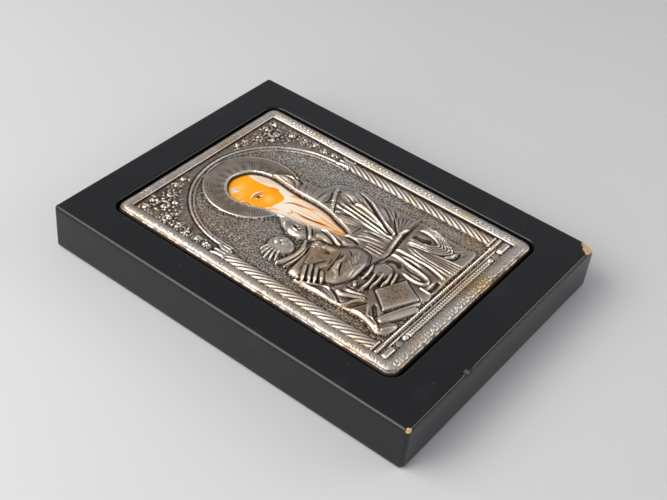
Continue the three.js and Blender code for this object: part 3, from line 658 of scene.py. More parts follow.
def raise_lap(field):
    """The region of the lap, then its folds."""
    field.region([
        (-14, -31), (0, -31.6), (14, -30.6), (27, -29.6), (34.4, -29.6), (35.4, -34), (34.2, -42),
        (33.6, -50), (33.4, -56), (33, -62.2), (10, -62.4), (-2, -62.4), (-10, -62.4),
        (-14, -50), (-16, -40),
    ], LAP, 2.2)
    # The roll of cloth along the waist.
    field.ridge([(-3.6, -31), (4, -31.4), (12, -29.8), (20, -28.2), (27.6, -29.6)], 2.0, 0.85,
                ends=(0.2, 0.15), plump=0.7)
    field.groove([(-2, -32.4), (6, -32.6), (15, -31.2), (22, -30.2)], 1.3, 0.7)
    # The sleeve: one U after another round a dark opening.
    field.groove([(22.6, -32.4), (23, -37), (25, -43)], 5.4, 0.8, ends=(0.15, 0.15))
    for grow in (0.0, 1.0, 2.0, 3.0, 4.0):
        field.ridge([(21.4 - 1.5 * grow, -31 - 0.4 * grow), (21.6 - 1.1 * grow, -37.6),
                     (22.2 - 0.7 * grow, -43.2 - 0.9 * grow), (25.2, -46 - 1.8 * grow),
                     (28 + 0.75 * grow, -42.4 - 0.8 * grow), (29.2 + 0.95 * grow, -36.4),
                     (28.4 + 1.15 * grow, -31.4)], 1.5, 0.85, ends=(0.12, 0.12), plump=0.7)
        field.groove([(20.6 - 1.5 * grow, -32.4), (20.9 - 1.1 * grow, -38),
                      (21.6 - 0.7 * grow, -44 - 0.9 * grow), (25.2, -47 - 1.8 * grow),
                      (28.8 + 0.75 * grow, -43 - 0.8 * grow), (30 + 0.95 * grow, -37)],
                     0.8, 0.5)
    field.ridge([(19.4, -51.6), (22.4, -54.4), (27, -54.8)], 1.9, 1.0, plump=0.7)
    field.groove([(20, -55), (24, -57), (29, -56)], 1.8, 0.8)
    # Fine folds between the robe's edge and the sleeve.
    field.fan([(15.6, -34), (12.6, -44), (11.6, -62)], [(17.4, -42), (19, -52), (20.6, -62)],
              6, 1.25, 0.7, ends=(0.15, 0.05), plump=0.75)
    field.fan([(15.8, -35), (13.4, -45), (12.4, -62)], [(17, -42), (18.2, -52), (19.6, -62)],
              5, 0.6, -0.5, ends=(0.1, 0.05))
    field.ridge([(16.4, -32.4), (18.4, -38), (20.2, -46)], 1.3, 0.6)
    # The robe's straight edge, and the panel beside it.
    field.ridge([(9.2, -31.6), (10, -36), (10, -44), (9.8, -52), (7.6, -61.6)], 1.7, 1.1,
                ends=(0.1, 0.05), plump=0.7)
    field.groove([(11.4, -34), (11.6, -44), (11, -54), (9.2, -61.6)], 1.4, 0.6)
    field.ridge([(7, -34), (7.4, -42), (7.2, -50), (5.6, -58)], 2.6, 0.35)
    # The stole's end.
    field.ridge([(5, -32.6), (5.4, -37), (4.2, -44), (3.6, -50), (2.2, -55.4), (0, -57),
                 (-2, -55.8), (-3, -52), (-2.6, -47), (-1.4, -43)], 1.6, 1.25,
                ends=(0.05, 0.08), plump=0.65)
    field.groove([(3.2, -40), (1.6, -46), (1.4, -52), (0, -54.6), (-0.8, -50), (0, -45)], 1.5, 0.8)
    field.groove([(-1.8, -33.4), (1.6, -36), (2, -39.6), (-1, -42)], 3.6, 0.75)
    # The footstool and the foot of the seat.
    field.groove([(-4.4, -60), (0, -60.6), (5, -60)], 3.0, 0.95, ends=(0.1, 0.1))
    field.ridge([(-3, -58.6), (0, -58.4), (3.4, -58.8)], 1.0, 0.5)
    field.ridge([(-4.6, -55.8), (-4.8, -59), (-4.8, -62.2)], 0.9, 0.95, ends=(0.05, 0.05))


raise_lap(sheet)
print("lap, highest", round(float(sheet.height.max()), 2), "mm")

# %% [markdown]
# ## The hanging cloth and the written sheet
#
# At the left the mantle falls in a zigzag, as cloth does where its hem turns back on itself. The
# written sheet lies over the knee with its lower end rolled. Its writing is rows of strokes.

# %% Hanging cloth and written sheet
def raise_mantle(field):
    """Facets of hanging cloth, each a region of its own, with ridges along their turned edges."""
    field.region([
        (-38.4, -10), (-37, -15), (-34.2, -20), (-31.6, -25), (-26, -28), (-18, -32), (-14, -38),
        (-17, -44), (-24, -52), (-31, -55), (-30, -62.3), (-37, -62.3), (-40.4, -57.8),
        (-38.4, -50.4), (-37.6, -42), (-38.4, -36.4), (-38.4, -31), (-39, -26),
        (-39.2, -16),
    ], MANTLE, 1.8)
    field.groove([(-32, -26.4), (-34.4, -31), (-36.6, -35), (-34.6, -37.6)], 2.6, 0.9,
                 ends=(0.1, 0.2))
    field.ridge([(-38.2, -12.6), (-36, -18), (-32.6, -24.2), (-34.6, -30.6), (-37.4, -35.2),
                 (-36.4, -37.4), (-32, -39.6), (-27, -43.6)], 1.5, 1.0, ends=(0.06, 0.1),
                plump=0.65)
    field.ridge([(-37.6, -19), (-37, -25), (-37.4, -31)], 2.8, 0.4)
    field.ridge([(-31, -28.4), (-31.8, -32.4), (-29.6, -37), (-26.6, -42.6)], 2.6, 0.95,
                ends=(0.12, 0.1), plump=0.75)
    field.groove([(-29, -29.4), (-29.2, -34), (-27.6, -38.6), (-25.4, -43.4)], 1.1, 0.8)
    field.ridge([(-27.6, -30.4), (-27.4, -35), (-25.8, -40), (-24.6, -42.8)], 1.8, 0.75, plump=0.75)
    field.groove([(-26, -30), (-25.4, -35), (-24.4, -39.6)], 1.2, 0.7)
    field.ridge([(-34.6, -37), (-31.6, -39.4), (-28.2, -43)], 0.9, 0.45)
    field.groove([(-37.6, -38.8), (-33.4, -41.6), (-27, -45)], 1.0, 0.6)
    field.ridge([(-36.6, -41), (-36.4, -47), (-38.6, -56.6)], 2.8, 0.75, ends=(0.1, 0.06),
                plump=0.8)
    field.ridge([(-26.8, -44), (-31, -46.6), (-35, -49.2), (-34.6, -51.6), (-37, -55.4),
                 (-39.6, -58)], 1.2, 0.75, ends=(0.2, 0.06), plump=0.7)
    field.groove([(-26, -46.4), (-30, -49.6), (-33, -52.4), (-35.6, -56)], 3.2, 1.0,
                 ends=(0.2, 0.2))
    field.ridge([(-38, -58.4), (-34.6, -60.4), (-32, -62)], 1.3, 0.6, ends=(0.1, 0.1))


PAGE = 1.75
PAGE_CORNERS = np.array([(-19.4, -41.8), (-4.6, -48.6), (-11.0, -60.4), (-27.6, -52.4)])


def raise_page(field):
    """A flat four-sided page whose corners are joined by straight edges, a roll along its lower
    end, and rows of strokes that follow the page's own two directions."""
    steps = np.linspace(0, 1, 6, endpoint=False)[:, None]
    turns = zip(PAGE_CORNERS, np.roll(PAGE_CORNERS, -1, 0))
    edge = np.vstack([a + (b - a) * steps for a, b in turns])
    field.region(edge, PAGE, 0.5, moat=0.5, samples=2)
    a, b, c, d = PAGE_CORNERS
    for down in np.linspace(0.12, 0.9, 7):
        for across in np.linspace(0.1, 0.86, 9):
            low = a + (d - a) * down
            high = b + (c - b) * down
            x, y = low + (high - low) * (across + dice.uniform(-0.02, 0.02))
            lean, size = dice.uniform(-0.35, 0.35), dice.uniform(0.3, 0.6)
            field.ridge([(x - lean, y - size), (x, y), (x + lean, y + size)], 0.65,
                        dice.choice((-0.34, -0.34, 0.1)), ends=(0.05, 0.05))
    field.rib([(-34.2, -54.6), (-26, -58.2), (-16.4, -62.6)], 4.6, 1.85, ends=(0.03, 0.03),
              plump=0.45)
    field.rib([(-33.6, -53.4), (-25.4, -56.4), (-12.4, -61.6)], 2.2, 1.7, ends=(0.05, 0.05))
    field.groove([(-35, -55.4), (-34.2, -53.6), (-33, -53.2)], 0.7, 0.6)


raise_mantle(sheet)
fold_fine(sheet)
raise_page(sheet)
print("mantle and page")

# %% [markdown]
# ## The child and the hands
#
# The swaddled child is the highest round form. It is a plump region with bands wound round it,
# a pleated cap and a small plain face. Four fingers of the near hand lie round its back, and the
# far hand reaches under it from its cuff.

# %% Child and hands
CHILD = 2.35


def raise_child(field):
    """The bundle, its bands, the collar, the cap and the head."""
    field.region([
        (-35.6, -5.6), (-28, -4.6), (-20, -3.4), (-14.4, -1.6), (-10.4, -2.6), (-9, -8),
        (-6.6, -13.6), (-2.6, -17.6), (-1.2, -22), (-2.4, -27), (-8, -29.8), (-16, -30.4),
        (-23, -30), (-27.4, -27.4), (-30.6, -22.4), (-34.4, -16.4), (-37, -12), (-37, -8.2),
    ], CHILD, 5.0, moat=0.5)
    field.groove([(-35.6, -9.8), (-30, -8.8), (-24.4, -6.8), (-18, -5.2)], 0.7, 0.4)
    field.ridge([(-35.6, -7.4), (-29, -6.2), (-21, -4.4)], 2.2, 0.35)
    field.groove([(-26.4, -19.4), (-19, -18.2), (-9.6, -16)], 1.0, 0.6)
    field.ridge([(-27, -21.4), (-19, -20.2), (-8.6, -18.2)], 2.6, 0.6)
    field.groove([(-24.6, -25.4), (-20, -22.6), (-14.4, -19.6)], 0.9, 0.65)
    field.ridge([(-25.4, -23.6), (-20.6, -21), (-16, -19.4)], 2.2, 0.5)
    field.groove([(-30.6, -12), (-25, -12.4), (-18.6, -15.4)], 1.6, 0.45)
    field.ridge([(-31, -14.4), (-25.4, -15), (-19.4, -17.6)], 2.6, 0.5)
    field.groove([(-12.4, -6), (-9.6, -11), (-8.6, -15)], 1.4, 0.45)
    field.ridge([(-15, -5.6), (-12, -10.6), (-11.6, -15.4)], 2.8, 0.5)
    field.fan([(-16.6, -26.6), (-14, -23.6), (-12.6, -21)], [(-10.4, -26), (-7.4, -23.6),
              (-4, -22.6)], 4, 1.4, 0.7)
    field.fan([(-21, -8), (-20, -12), (-20.4, -16)], [(-13, -7.6), (-10.4, -11), (-9.6, -14.6)],
              3, 2.4, -0.28, ends=(0.4, 0.4))
    field.fan([(-25, -27.4), (-18, -26), (-12, -27)], [(-22, -29.4), (-14, -28.6), (-5, -28.4)],
              3, 1.5, 0.65)
    for _ in range(26):
        x, y = dice.uniform(-31, -5), dice.uniform(-28, -6)
        turn, size = dice.uniform(-0.5, 1.0), dice.uniform(1.6, 3.6)
        c, s = np.cos(turn) * size, np.sin(turn) * size
        field.ridge([(x - c, y - s), (x + 0.2 * s, y - 0.2 * c), (x + c, y + s)],
                    dice.uniform(1.0, 2.0), dice.uniform(0.15, 0.42) * dice.choice((-1, 1)))
    for x in (-15.8, -14.2, -12.6, -11.2):
        field.ridge([(x + 0.3, -0.8), (x, -3.2), (x, -6)], 1.0, 0.45, ends=(0.2, 0.3))
    # Two crescents of the collar.
    field.rib([(-35, 1.7), (-31.6, -0.3), (-26, -1.5), (-20, -1.2), (-14.4, 1.4)], 3.2, 2.2,
              ends=(0.2, 0.3), plump=0.7)
    field.groove([(-33.4, 1.6), (-29, 0.5), (-24, -0.1), (-19, 0.4)], 1.1, 0.6)
    field.rib([(-34.6, -2.4), (-30, -3.4), (-24, -3.6), (-17.4, -2.2)], 1.6, 1.9,
              ends=(0.15, 0.3), plump=0.6)


CHILD_HEAD = (-24.3, 8.0)


def raise_child_head(field):
    """A round head, five pleats of the cap behind it, and a plain small face: brow, cheek, nose,
    lips and chin, set by halves and thirds of the head."""
    x0, y0 = CHILD_HEAD
    for angle in (2.38, 2.70, 3.02, 3.34, 3.66):
        c, s = np.cos(angle), np.sin(angle)
        field.rib([(x0 + 2.8 * c, y0 + 3.0 * s), (x0 + 6.8 * c, y0 + 5.8 * s + 0.2),
                   (x0 + 10.9 * c, y0 + 8.0 * s - 0.4)], 1.9, 1.95, ends=(0.1, 0.3), plump=0.6)
    radius = 6.0
    gap = ((field.x - x0) / radius) ** 2 + ((field.y - y0) / (radius * 1.12)) ** 2
    skull = 2.45 * np.sqrt(np.clip(1 - gap, 0, 1)) ** 1.1
    ring = 0.4 * np.clip(1 - np.abs(np.sqrt(gap) - 1.08) / 0.12, 0, 1)
    field.height[:] = np.where(gap < 1, np.maximum(field.height, skull), field.height - ring)
    # The face looks up to the right. Across and down are its own two directions.
    across, down = np.array((0.80, 0.60)), np.array((0.45, -0.89))
    centre = np.array(CHILD_HEAD) + (1.5, 0.4)

    def place(u, v):
        return tuple(centre + across * u + down * v)

    field.ridge([place(-2.6, -2.2), place(0, -3.2), place(2.6, -2.4)], 2.8, 0.5)
    for side in (-1.6, 1.6):
        field.dot(*place(side * 1.1, 1.2), 1.6, 0.35)
        field.groove([place(side - 0.8, -0.5), place(side, -0.9), place(side + 0.8, -0.5)],
                     0.7, 0.4)
        field.ridge([place(side - 0.7, -0.1), place(side, -0.2), place(side + 0.7, -0.1)],
                    0.7, 0.25)
    field.ridge([place(0, -1.6), place(0, -0.1), place(0.1, 1.2)], 1.1, 0.6, ends=(0.4, 0.1))
    field.groove([place(-0.9, 2.3), place(0, 2.15), place(0.9, 2.3)], 0.5, 0.35)
    field.ridge([place(-0.7, 2.75), place(0, 2.9), place(0.7, 2.75)], 0.8, 0.3)
    field.dot(*place(0.05, 3.9), 1.2, 0.35)
    field.groove([place(-3.6, -2.6), place(-1.6, -4.4), place(1.6, -4.4)], 0.6, 0.35)


def raise_hands(field):
    """Fingers as rounded ribs with a crease at each joint, and the back of each hand."""
    near_hand = ([(-37.4, -14.6), (-33, -12.2), (-28.4, -9.9)], [(-36, -17.4), (-31.6, -14.4),
                 (-26.2, -11.6)], [(-34.4, -19.2), (-30.2, -16.8), (-26, -14.2)],
                 [(-32.4, -21.6), (-29.6, -19.6), (-27, -17.8)])
    for path in near_hand:
        field.rib(path, 2.75, 3.5, ends=(0.22, 0.15), plump=0.6)
        joint = np.array(path[1])
        field.groove([joint + (-0.5, 0.8), joint, joint + (0.5, -0.8)], 0.5, 0.22)
    field.dot(-37.2, -11.6, 1.3, 1.0)
    # The far hand's back, its knuckles and its cuff.
    field.region([(-11.4, -33.6), (-6.4, -31.6), (-3, -33.6), (-1.6, -37), (-3, -40.6),
                  (-6.4, -43.4), (-10.6, -43.4), (-12.4, -38.6)], 2.1, 3.6, moat=0.3)
    far_hand = (([(-25, -37.1), (-17.4, -37.3), (-9.4, -35.6)], 1.8), ([(-19.6, -39.6),
                (-14, -39.7), (-8, -38.5)], 1.7), ([(-15.6, -42.7), (-11, -42.7), (-5.6, -41.2)],
                1.9), ([(-11.6, -45.2), (-8.6, -44.6), (-4, -43)], 1.8))
    for path, width in far_hand:
        field.rib(path, width, 2.95, ends=(0.2, 0.2), plump=0.55)
    field.rib([(-17, -33.4), (-12, -33), (-6.6, -31.6)], 2.0, 2.5, ends=(0.3, 0.2))
    field.rib([(-23.6, -33.6), (-22, -32.6), (-20.8, -31.6)], 2.2, 1.9)
    field.dot(-17, -32.0, 1.4, 0.9)
    field.groove([(-9.6, -36), (-8.6, -37.4), (-8, -38)], 0.9, 0.4)
    field.ridge([(-4.4, -33.6), (-2.8, -37), (-4, -41)], 1.6, 0.5)
    field.groove([(-24, -38.6), (-19, -38.8), (-13, -38)], 0.9, 0.8)
    field.groove([(-18, -41.4), (-12, -41.4), (-7, -40)], 1.0, 0.7)


raise_child(sheet)
raise_child_head(sheet)
raise_hands(sheet)
print("child and hands, highest", round(float(sheet.height.max()), 2), "mm over the ground")

# %% [markdown]
# ## The window and the tarnish
#
# The window for the painted head has its edge turned down towards the board. Tarnish isn't
# painted by hand: silver blackens where no cloth reaches when it is rubbed. So the polish at a
# point is how far it stands above the average height around it, with a little more for high
# ground.

# %% Window and tarnish
WINDOW = [
    (-1.5, 57.4), (-8.0, 54.8), (-12.4, 49.5), (-13.0, 43.0), (-11.2, 36.5), (-8.6, 31.0),
    (-7.6, 24.0), (-6.0, 15.0), (-3.8, 6.0), (-0.6, -3.0), (2.8, -9.6), (5.4, -6.0), (7.4, 0.5),
    (9.6, 6.5), (10.8, 15.0), (10.6, 24.0), (11.0, 32.0), (12.0, 40.0), (11.6, 47.0), (7.2, 54.6),
]
SHEET_UNDER = board_high[2] + 0.1
LIP_WIDTH = 0.75


def cut_window(field):
    """Rolls the sheet up a little round the window, then turns its last 0.7 mm down to the
    board. Gives back the depth inside the window."""
    depth = field.depth_map(curve(WINDOW, closed=True, samples=8), 4.0)
    lip = SHEET_UNDER + 0.12 - GROUND_Z
    roll = 0.2 * mound(depth + 1.1, 0.7)
    field.height[:] += np.where(depth > -2, roll, 0)
    t = smoothstep(-LIP_WIDTH, -0.1, depth)
    field.height[:] = field.height * (1 - t) + lip * t
    return depth


def polish_of(height, x, y, step):
    """0 where tarnish stays and 1 where the silver is rubbed bright."""
    fine = height - blur(height, 0.5, step)
    broad = height - blur(height, 1.9, step)
    worn = 0.38 + 1.35 * fine + 0.5 * broad + 0.07 * height
    worn += 0.05 * noise(x, y, 3.0) + 0.06 * noise(x, y, 11.0)
    return np.clip(worn, 0, 1)


sheet.height[:] = 0.5 * sheet.height + 0.5 * blur(sheet.height, STEP, STEP)
sheet.height[:] = np.maximum(sheet.height, -0.55)
window_depth = cut_window(sheet)
highest = cover_high[2] - GROUND_Z + 0.2
sheet.height[:] = np.minimum(sheet.height, highest)
polish = polish_of(sheet.height, sheet.x, sheet.y, STEP)
# Old polish has dried yellow-brown in places: over the child, low at the right, on the page, and
# in clouds. Each place has a centre, a spread each way and a strength.
PATINA_PLACES = ((-18, -15, 14, 12, 0.9), (40, -58, 9, 11, 0.6), (-16, -51, 9, 8, 0.7))
patina = np.zeros(sheet.x.shape)
for x0, y0, wide, high, strength in PATINA_PLACES:
    patina += strength * np.exp(-((sheet.x - x0) / wide) ** 2 - ((sheet.y - y0) / high) ** 2)
patina += 0.35 * smoothstep(0.0, 0.8, noise(sheet.x, sheet.y, 17.0))
patina = np.clip(patina, 0, 1)
# The flat ground is made a little brighter towards the right.
polish += 0.10 * smoothstep(5, 45, sheet.x) * smoothstep(0.5, 0.3, np.abs(sheet.height))
print("polish from", round(float(polish.min()), 2), "to", round(float(polish.max()), 2))

# %% [markdown]
# ## From fields to meshes
#
# A mesh takes its vertices, faces and attributes as whole arrays. A field becomes a closed body:
# its own surface on top, walls round its edge, and one flat face below. The picture is cut into
# three bands, each small enough to export whole. Neighbours share their edge points and their
# normals, so no seam shows.

# %% Mesh makers
def add_mesh(name, vertices, faces, layers=None, smooth=True, normals=None):
    """A mesh object from arrays: points in millimetres, faces as index lists, and named values
    for each point."""
    mesh = bpy.data.meshes.new(name)
    mesh.from_pydata((np.asarray(vertices) * MM).tolist(), [], [list(map(int, f)) for f in faces])
    for layer, values in (layers or {}).items():
        values = np.asarray(values, np.float32)
        if values.ndim == 2:
            attribute = mesh.attributes.new(layer, "FLOAT_COLOR", "POINT")
            colour = np.ones((len(values), 4), np.float32)
            colour[:, :3] = values
            attribute.data.foreach_set("color", colour.ravel())
        else:
            attribute = mesh.attributes.new(layer, "FLOAT", "POINT")
            attribute.data.foreach_set("value", values)
    mesh.polygons.foreach_set("use_smooth", np.full(len(mesh.polygons), smooth))
    mesh.update()
    if normals is not None:
        mesh.normals_split_custom_set_from_vertices(np.asarray(normals).tolist())
    piece = bpy.data.objects.new(name, mesh)
    bpy.context.scene.collection.objects.link(piece)
    return piece


def grid_quads(index):
    """The four corners of every cell of a grid of point numbers, anticlockwise."""
    return np.stack([index[:-1, :-1], index[:-1, 1:], index[1:, 1:], index[1:, :-1]], -1)


def border_loop(kept):
    """The closed chain of grid points round the kept cells, in order, with the cells on the
    left of each step."""
    rows, columns = kept.shape
    wide = columns + 1
    padded = np.pad(kept, 1)
    inner = padded[1:-1, 1:-1]
    r, c = np.nonzero(inner & ~padded[:-2, 1:-1])
    south = np.stack([r * wide + c, r * wide + c + 1], 1)
    r, c = np.nonzero(inner & ~padded[2:, 1:-1])
    north = np.stack([(r + 1) * wide + c + 1, (r + 1) * wide + c], 1)
    r, c = np.nonzero(inner & ~padded[1:-1, :-2])
    west = np.stack([(r + 1) * wide + c, r * wide + c], 1)
    r, c = np.nonzero(inner & ~padded[1:-1, 2:])
    east = np.stack([r * wide + c + 1, (r + 1) * wide + c + 1], 1)
    steps = dict(np.vstack([south, north, west, east]).tolist())
    start = next(iter(steps))
    loop, here = [start], steps[start]
    while here != start:
        loop.append(here)
        here = steps[here]
    return np.array(loop)


# A cell stays while its centre is less than about half a cell inside the window.
WINDOW_SLACK = 0.12


def cells_outside(inside):
    """The cells of a grid that stay outside the window, and the points that they use."""
    centre = (inside[:-1, :-1] + inside[1:, :-1] + inside[:-1, 1:] + inside[1:, 1:]) / 4
    kept = centre < WINDOW_SLACK
    used = np.zeros(inside.shape, bool)
    for shift_row in (0, 1):
        for shift_column in (0, 1):
            used[shift_row:shift_row + kept.shape[0],
                 shift_column:shift_column + kept.shape[1]] |= kept
    return kept, used


def snap_to_window(x, y, inside, used, step):
    """Moves the used points that lie inside the window onto its outline, down the slope of the
    depth. On a band's first and last row they only move along the row, as its neighbour's do."""
    slope_y, slope_x = np.gradient(inside, step)
    inner_rows = np.zeros(x.shape, bool)
    inner_rows[1:-1] = True
    onto = used & (inside > 0) & inner_rows
    x[onto] -= (inside * slope_x)[onto]
    y[onto] -= (inside * slope_y)[onto]
    onto_edge = used & (inside > 0) & ~inner_rows
    x[onto_edge] -= (inside * np.sign(slope_x))[onto_edge]


def field_body(name, field, rows, depth, layers, under):
    """A closed body from a band of a field's rows, with the window cut out of it: the surface,
    walls round it and round the window, and one face below."""
    x, y = field.x[rows].copy(), field.y[rows].copy()
    z = field.height[rows] + GROUND_Z
    kept, used = cells_outside(depth[rows])
    snap_to_window(x, y, depth[rows], used, field.step)
    index = np.arange(x.size).reshape(x.shape)
    quads = grid_quads(index)[kept]
    loop = border_loop(kept)
    number = np.full(x.size, -1)
    number[used.ravel()] = np.arange(used.sum())
    top = np.stack([x, y, z], -1)[used]
    base = np.stack([x.ravel()[loop], y.ravel()[loop], np.full(len(loop), under)], 1)
    low = used.sum() + np.arange(len(loop))
    loop = number[loop]
    following = np.roll(loop, -1)
    walls = np.stack([loop, low, np.roll(low, -1), following], 1)
    faces = number[quads].tolist() + walls.tolist() + [low[::-1].tolist()]
    rise_y, rise_x = (part[rows][used] for part in np.gradient(field.height, field.step))
    normals = np.stack([-rise_x, -rise_y, np.ones_like(rise_x)], 1)
    normals /= np.linalg.norm(normals, axis=1)[:, None]
    values = {}
    for layer, array in layers.items():
        flat = array[rows][used]
        values[layer] = np.concatenate([flat, flat[loop]])
    normals = np.vstack([normals, np.tile((0.0, 0.0, -1.0), (len(base), 1))])
    return add_mesh(name, np.vstack([top, base]), faces, values, normals=normals)


print("mesh makers ready")

# %% [markdown]
# ## The border of the silver sheet
#
# Round the picture the sheet is pushed up into a rounded cushion and turned down into the
# recess. It is a profile carried round a rounded rectangle: each row of the profile is a ring,
# and every ring has as many points. The repeating scroll is drawn once on a small field and read
# off all along the four sides.

# %% Rings and the border
SIDE_POINTS = (608, 418)
CORNER_POINTS = 28
MOTIF_POINTS = 38
BORDER_ROWS = 30
BORDER_DEPTH = 4.4
COVER_CENTRE = ((cover_high + cover_low) / 2)[:2]


def ring(half, radius, centre, side_points, corner_points, grading=0.0):
    """A rounded rectangle as one closed row of points, anticlockwise from the lower right. The
    grading draws a side's points towards its ends: t becomes a mix of t and sin(pi t / 2)."""
    (half_x, half_y), (x0, y0) = half, centre
    inner_x, inner_y = half_x - radius, half_y - radius
    points = []
    for k, (sx, sy) in enumerate(((1, 1), (-1, 1), (-1, -1), (1, -1))):
        count = side_points[k % 2]
        t = np.linspace(-1, 1, count, endpoint=False)
        t = (1 - grading) * t + grading * np.sin(np.pi / 2 * t)
        if k % 2 == 0:
            side = np.stack([np.full(count, sx * half_x), sx * t * inner_y], 1)
        else:
            side = np.stack([-sy * t * inner_x, np.full(count, sy * half_y)], 1)
        a = (k + np.linspace(0, 1, corner_points, endpoint=False)) * np.pi / 2
        arc = np.stack([sx * inner_x + radius * np.cos(a), sy * inner_y + radius * np.sin(a)], 1)
        points += [side, arc]
    return np.vstack(points) + (x0, y0)


def ring_faces(rows, count, closed=False):
    """Quads between neighbouring rings, as one array. A closed profile joins last to first."""
    index = np.arange(rows * count).reshape(rows, count)
    if closed:
        index = np.vstack([index, index[:1]])
    a, b = index[:-1], index[1:]
    return np.stack([a, np.roll(a, -1, 1), np.roll(b, -1, 1), b], -1).reshape(-1, 4)


def border_motif():
    """The heights of one repeat of the border: two C-scrolls back to back, with a bud and dots
    between them. What runs over one end is drawn again at the other."""
    length = MOTIF_POINTS * STEP
    tile = Field(0, length - STEP, 0, 7.0, STEP)
    for shift in (-length, 0.0, length):
        middle = shift + length / 2
        for side in (-1, 1):
            x0 = middle + side * 2.5
            a = np.linspace(-0.4, 5.4, 12)
            reach = 1.55 * (1 - 0.13 * a)
            curl = np.stack([x0 + side * reach * np.cos(a), 3.5 + reach * np.sin(a)], 1)
            tile.ridge(curl, 0.95, 0.42, ends=(0.2, 0.1), plump=0.7)
            tile.dot(x0, 3.4, 0.5, 0.35)
            tile.ridge([(middle + side * 0.5, 2.0), (middle + side * 1.4, 1.7),
                        (middle + side * 2.4, 1.2)], 0.8, 0.3, plump=0.7)
        tile.ridge([(middle, 2.2), (middle, 3.6), (middle, 5.2)], 1.3, 0.45, plump=0.7)
        tile.dot(shift, 3.5, 0.85, 0.4)
        tile.dot(shift, 1.7, 0.4, 0.25)
        tile.dot(shift, 5.3, 0.4, 0.25)
    return tile.height


def border_plan(share):
    """Rings from the picture's edge, at share 0, to the cover's edge, at share 1."""
    outer = ((cover_high - cover_low) / 2)[:2]
    inner = np.array((PICTURE_RIGHT - PICTURE_LEFT, PICTURE_TOP - PICTURE_BOTTOM)) / 2
    inner_centre = np.array((PICTURE_RIGHT + PICTURE_LEFT, PICTURE_TOP + PICTURE_BOTTOM)) / 2
    return np.array([
        ring(inner + (outer - inner) * s, 0.8 + 3.7 * s,
             inner_centre + (COVER_CENTRE - inner_centre) * s, SIDE_POINTS, CORNER_POINTS)
        for s in share])


def border_relief(share, count):
    """The motif repeated along the four sides, and a round leaf on each corner."""
    motif = border_motif()
    rows = np.clip((share * (motif.shape[0] - 1)).round().astype(int), 0, motif.shape[0] - 1)
    relief = np.zeros((len(share), count))
    start = 0
    for k in range(4):
        side = SIDE_POINTS[k % 2]
        columns = np.arange(side) % MOTIF_POINTS
        relief[:, start:start + side] = motif[rows][:, columns]
        middle = start + side + CORNER_POINTS // 2
        leaf = np.abs(np.arange(count) - middle) / (CORNER_POINTS * 0.32)
        relief += 0.4 * mound(leaf[None, :], 1.0) * mound(share[:, None] - 0.52, 0.42)
        start += side + CORNER_POINTS
    return relief


def border_top(share, x, y):
    """Height and polish of the cushion: a wave 2.1 sin(pi t^0.92)^0.78 across it, an edge line on
    each side, and the relief, which is worn away in places and along the left side."""
    cushion = 2.1 * np.sin(np.pi * np.clip(share, 0, 1) ** 0.92) ** 0.78
    edge_line = 0.3 * mound(share - 0.1, 0.05) + 0.2 * mound(share - 0.86, 0.05)
    worn = 0.25 + 0.45 * smoothstep(-0.6, 0.6, noise(x, y, 6.0))
    worn *= 0.3 + 0.7 * smoothstep(-55.5, -51.5, x)
    height = 0.25 + cushion[:, None] + edge_line[:, None]
    height = height + border_relief(share, x.shape[1]) * worn
    height += 0.06 * noise(x, y, 5.0) + 0.03 * noise(x, y, 1.5)
    polish = polish_of(height, x, y, STEP) - 0.05
    # Its outer slope has lost its polish in ragged patches.
    ragged = share[:, None] + 0.16 * noise(x, y, 2.4) + 0.1 * noise(x, y, 0.9)
    return height, polish - 0.32 * smoothstep(0.80, 0.98, ragged)


def turned_edge(edge, edge_z, drop, bottom):
    """The sheet's edge turned down into the recess: dented, and drawn in a little half way."""
    wall_z = edge_z * (1 - drop) + bottom * drop
    dents = 0.16 * noise(np.broadcast_to(edge[:, 0], wall_z.shape) + drop,
                         edge[:, 1] - 2 * drop, 1.6)
    away = edge - COVER_CENTRE
    away /= np.linalg.norm(away, axis=1)[:, None]
    wall = edge[None] + away[None] * (dents - 0.18 * np.sin(np.pi * drop))[..., None]
    return np.concatenate([wall, wall_z[..., None]], -1)


def build_border():
    """Rings from the picture's edge over the cushion, down into the recess and back under."""
    share = np.linspace(0, 1, BORDER_ROWS)
    plan = border_plan(share)
    x, y = plan[..., 0], plan[..., 1]
    count = x.shape[1]
    height, polish = border_top(share, x, y)
    drop = np.linspace(0.12, 1, 7)[:, None]
    bottom = panel_high[2] - BORDER_DEPTH
    wall = turned_edge(plan[-1], GROUND_Z + height[-1], drop, bottom)
    under = np.column_stack([plan[0], np.full(count, bottom)])
    vertices = np.vstack([np.stack([x, y, GROUND_Z + height], -1).reshape(-1, 3),
                          wall.reshape(-1, 3), under])
    # The turned edge is brown with dirt, and painted darker the deeper it lies: painted shade.
    polish = np.concatenate([polish, 0.25 - 0.2 * drop + np.zeros((1, count)),
                             np.zeros((1, count))])
    faces = ring_faces(len(polish), count, closed=True)[:, ::-1]
    clouds = 0.6 * smoothstep(-0.1, 0.7, noise(vertices[:, 0], vertices[:, 1], 13.0))
    return add_mesh("silver_border", vertices, faces,
                    {"polish": np.clip(polish, 0, 1).ravel(), "stipple": np.zeros(polish.size),
                     "patina": clouds})


border = build_border()
print("border", len(border.data.polygons), "faces")

# %% [markdown]
# ## The picture, in three bands
#
# The sheet is cut across at the arch's springing and again over the lap. The stipple layer marks
# the bare ground inside the arch, where the finish adds the marks of a punch.

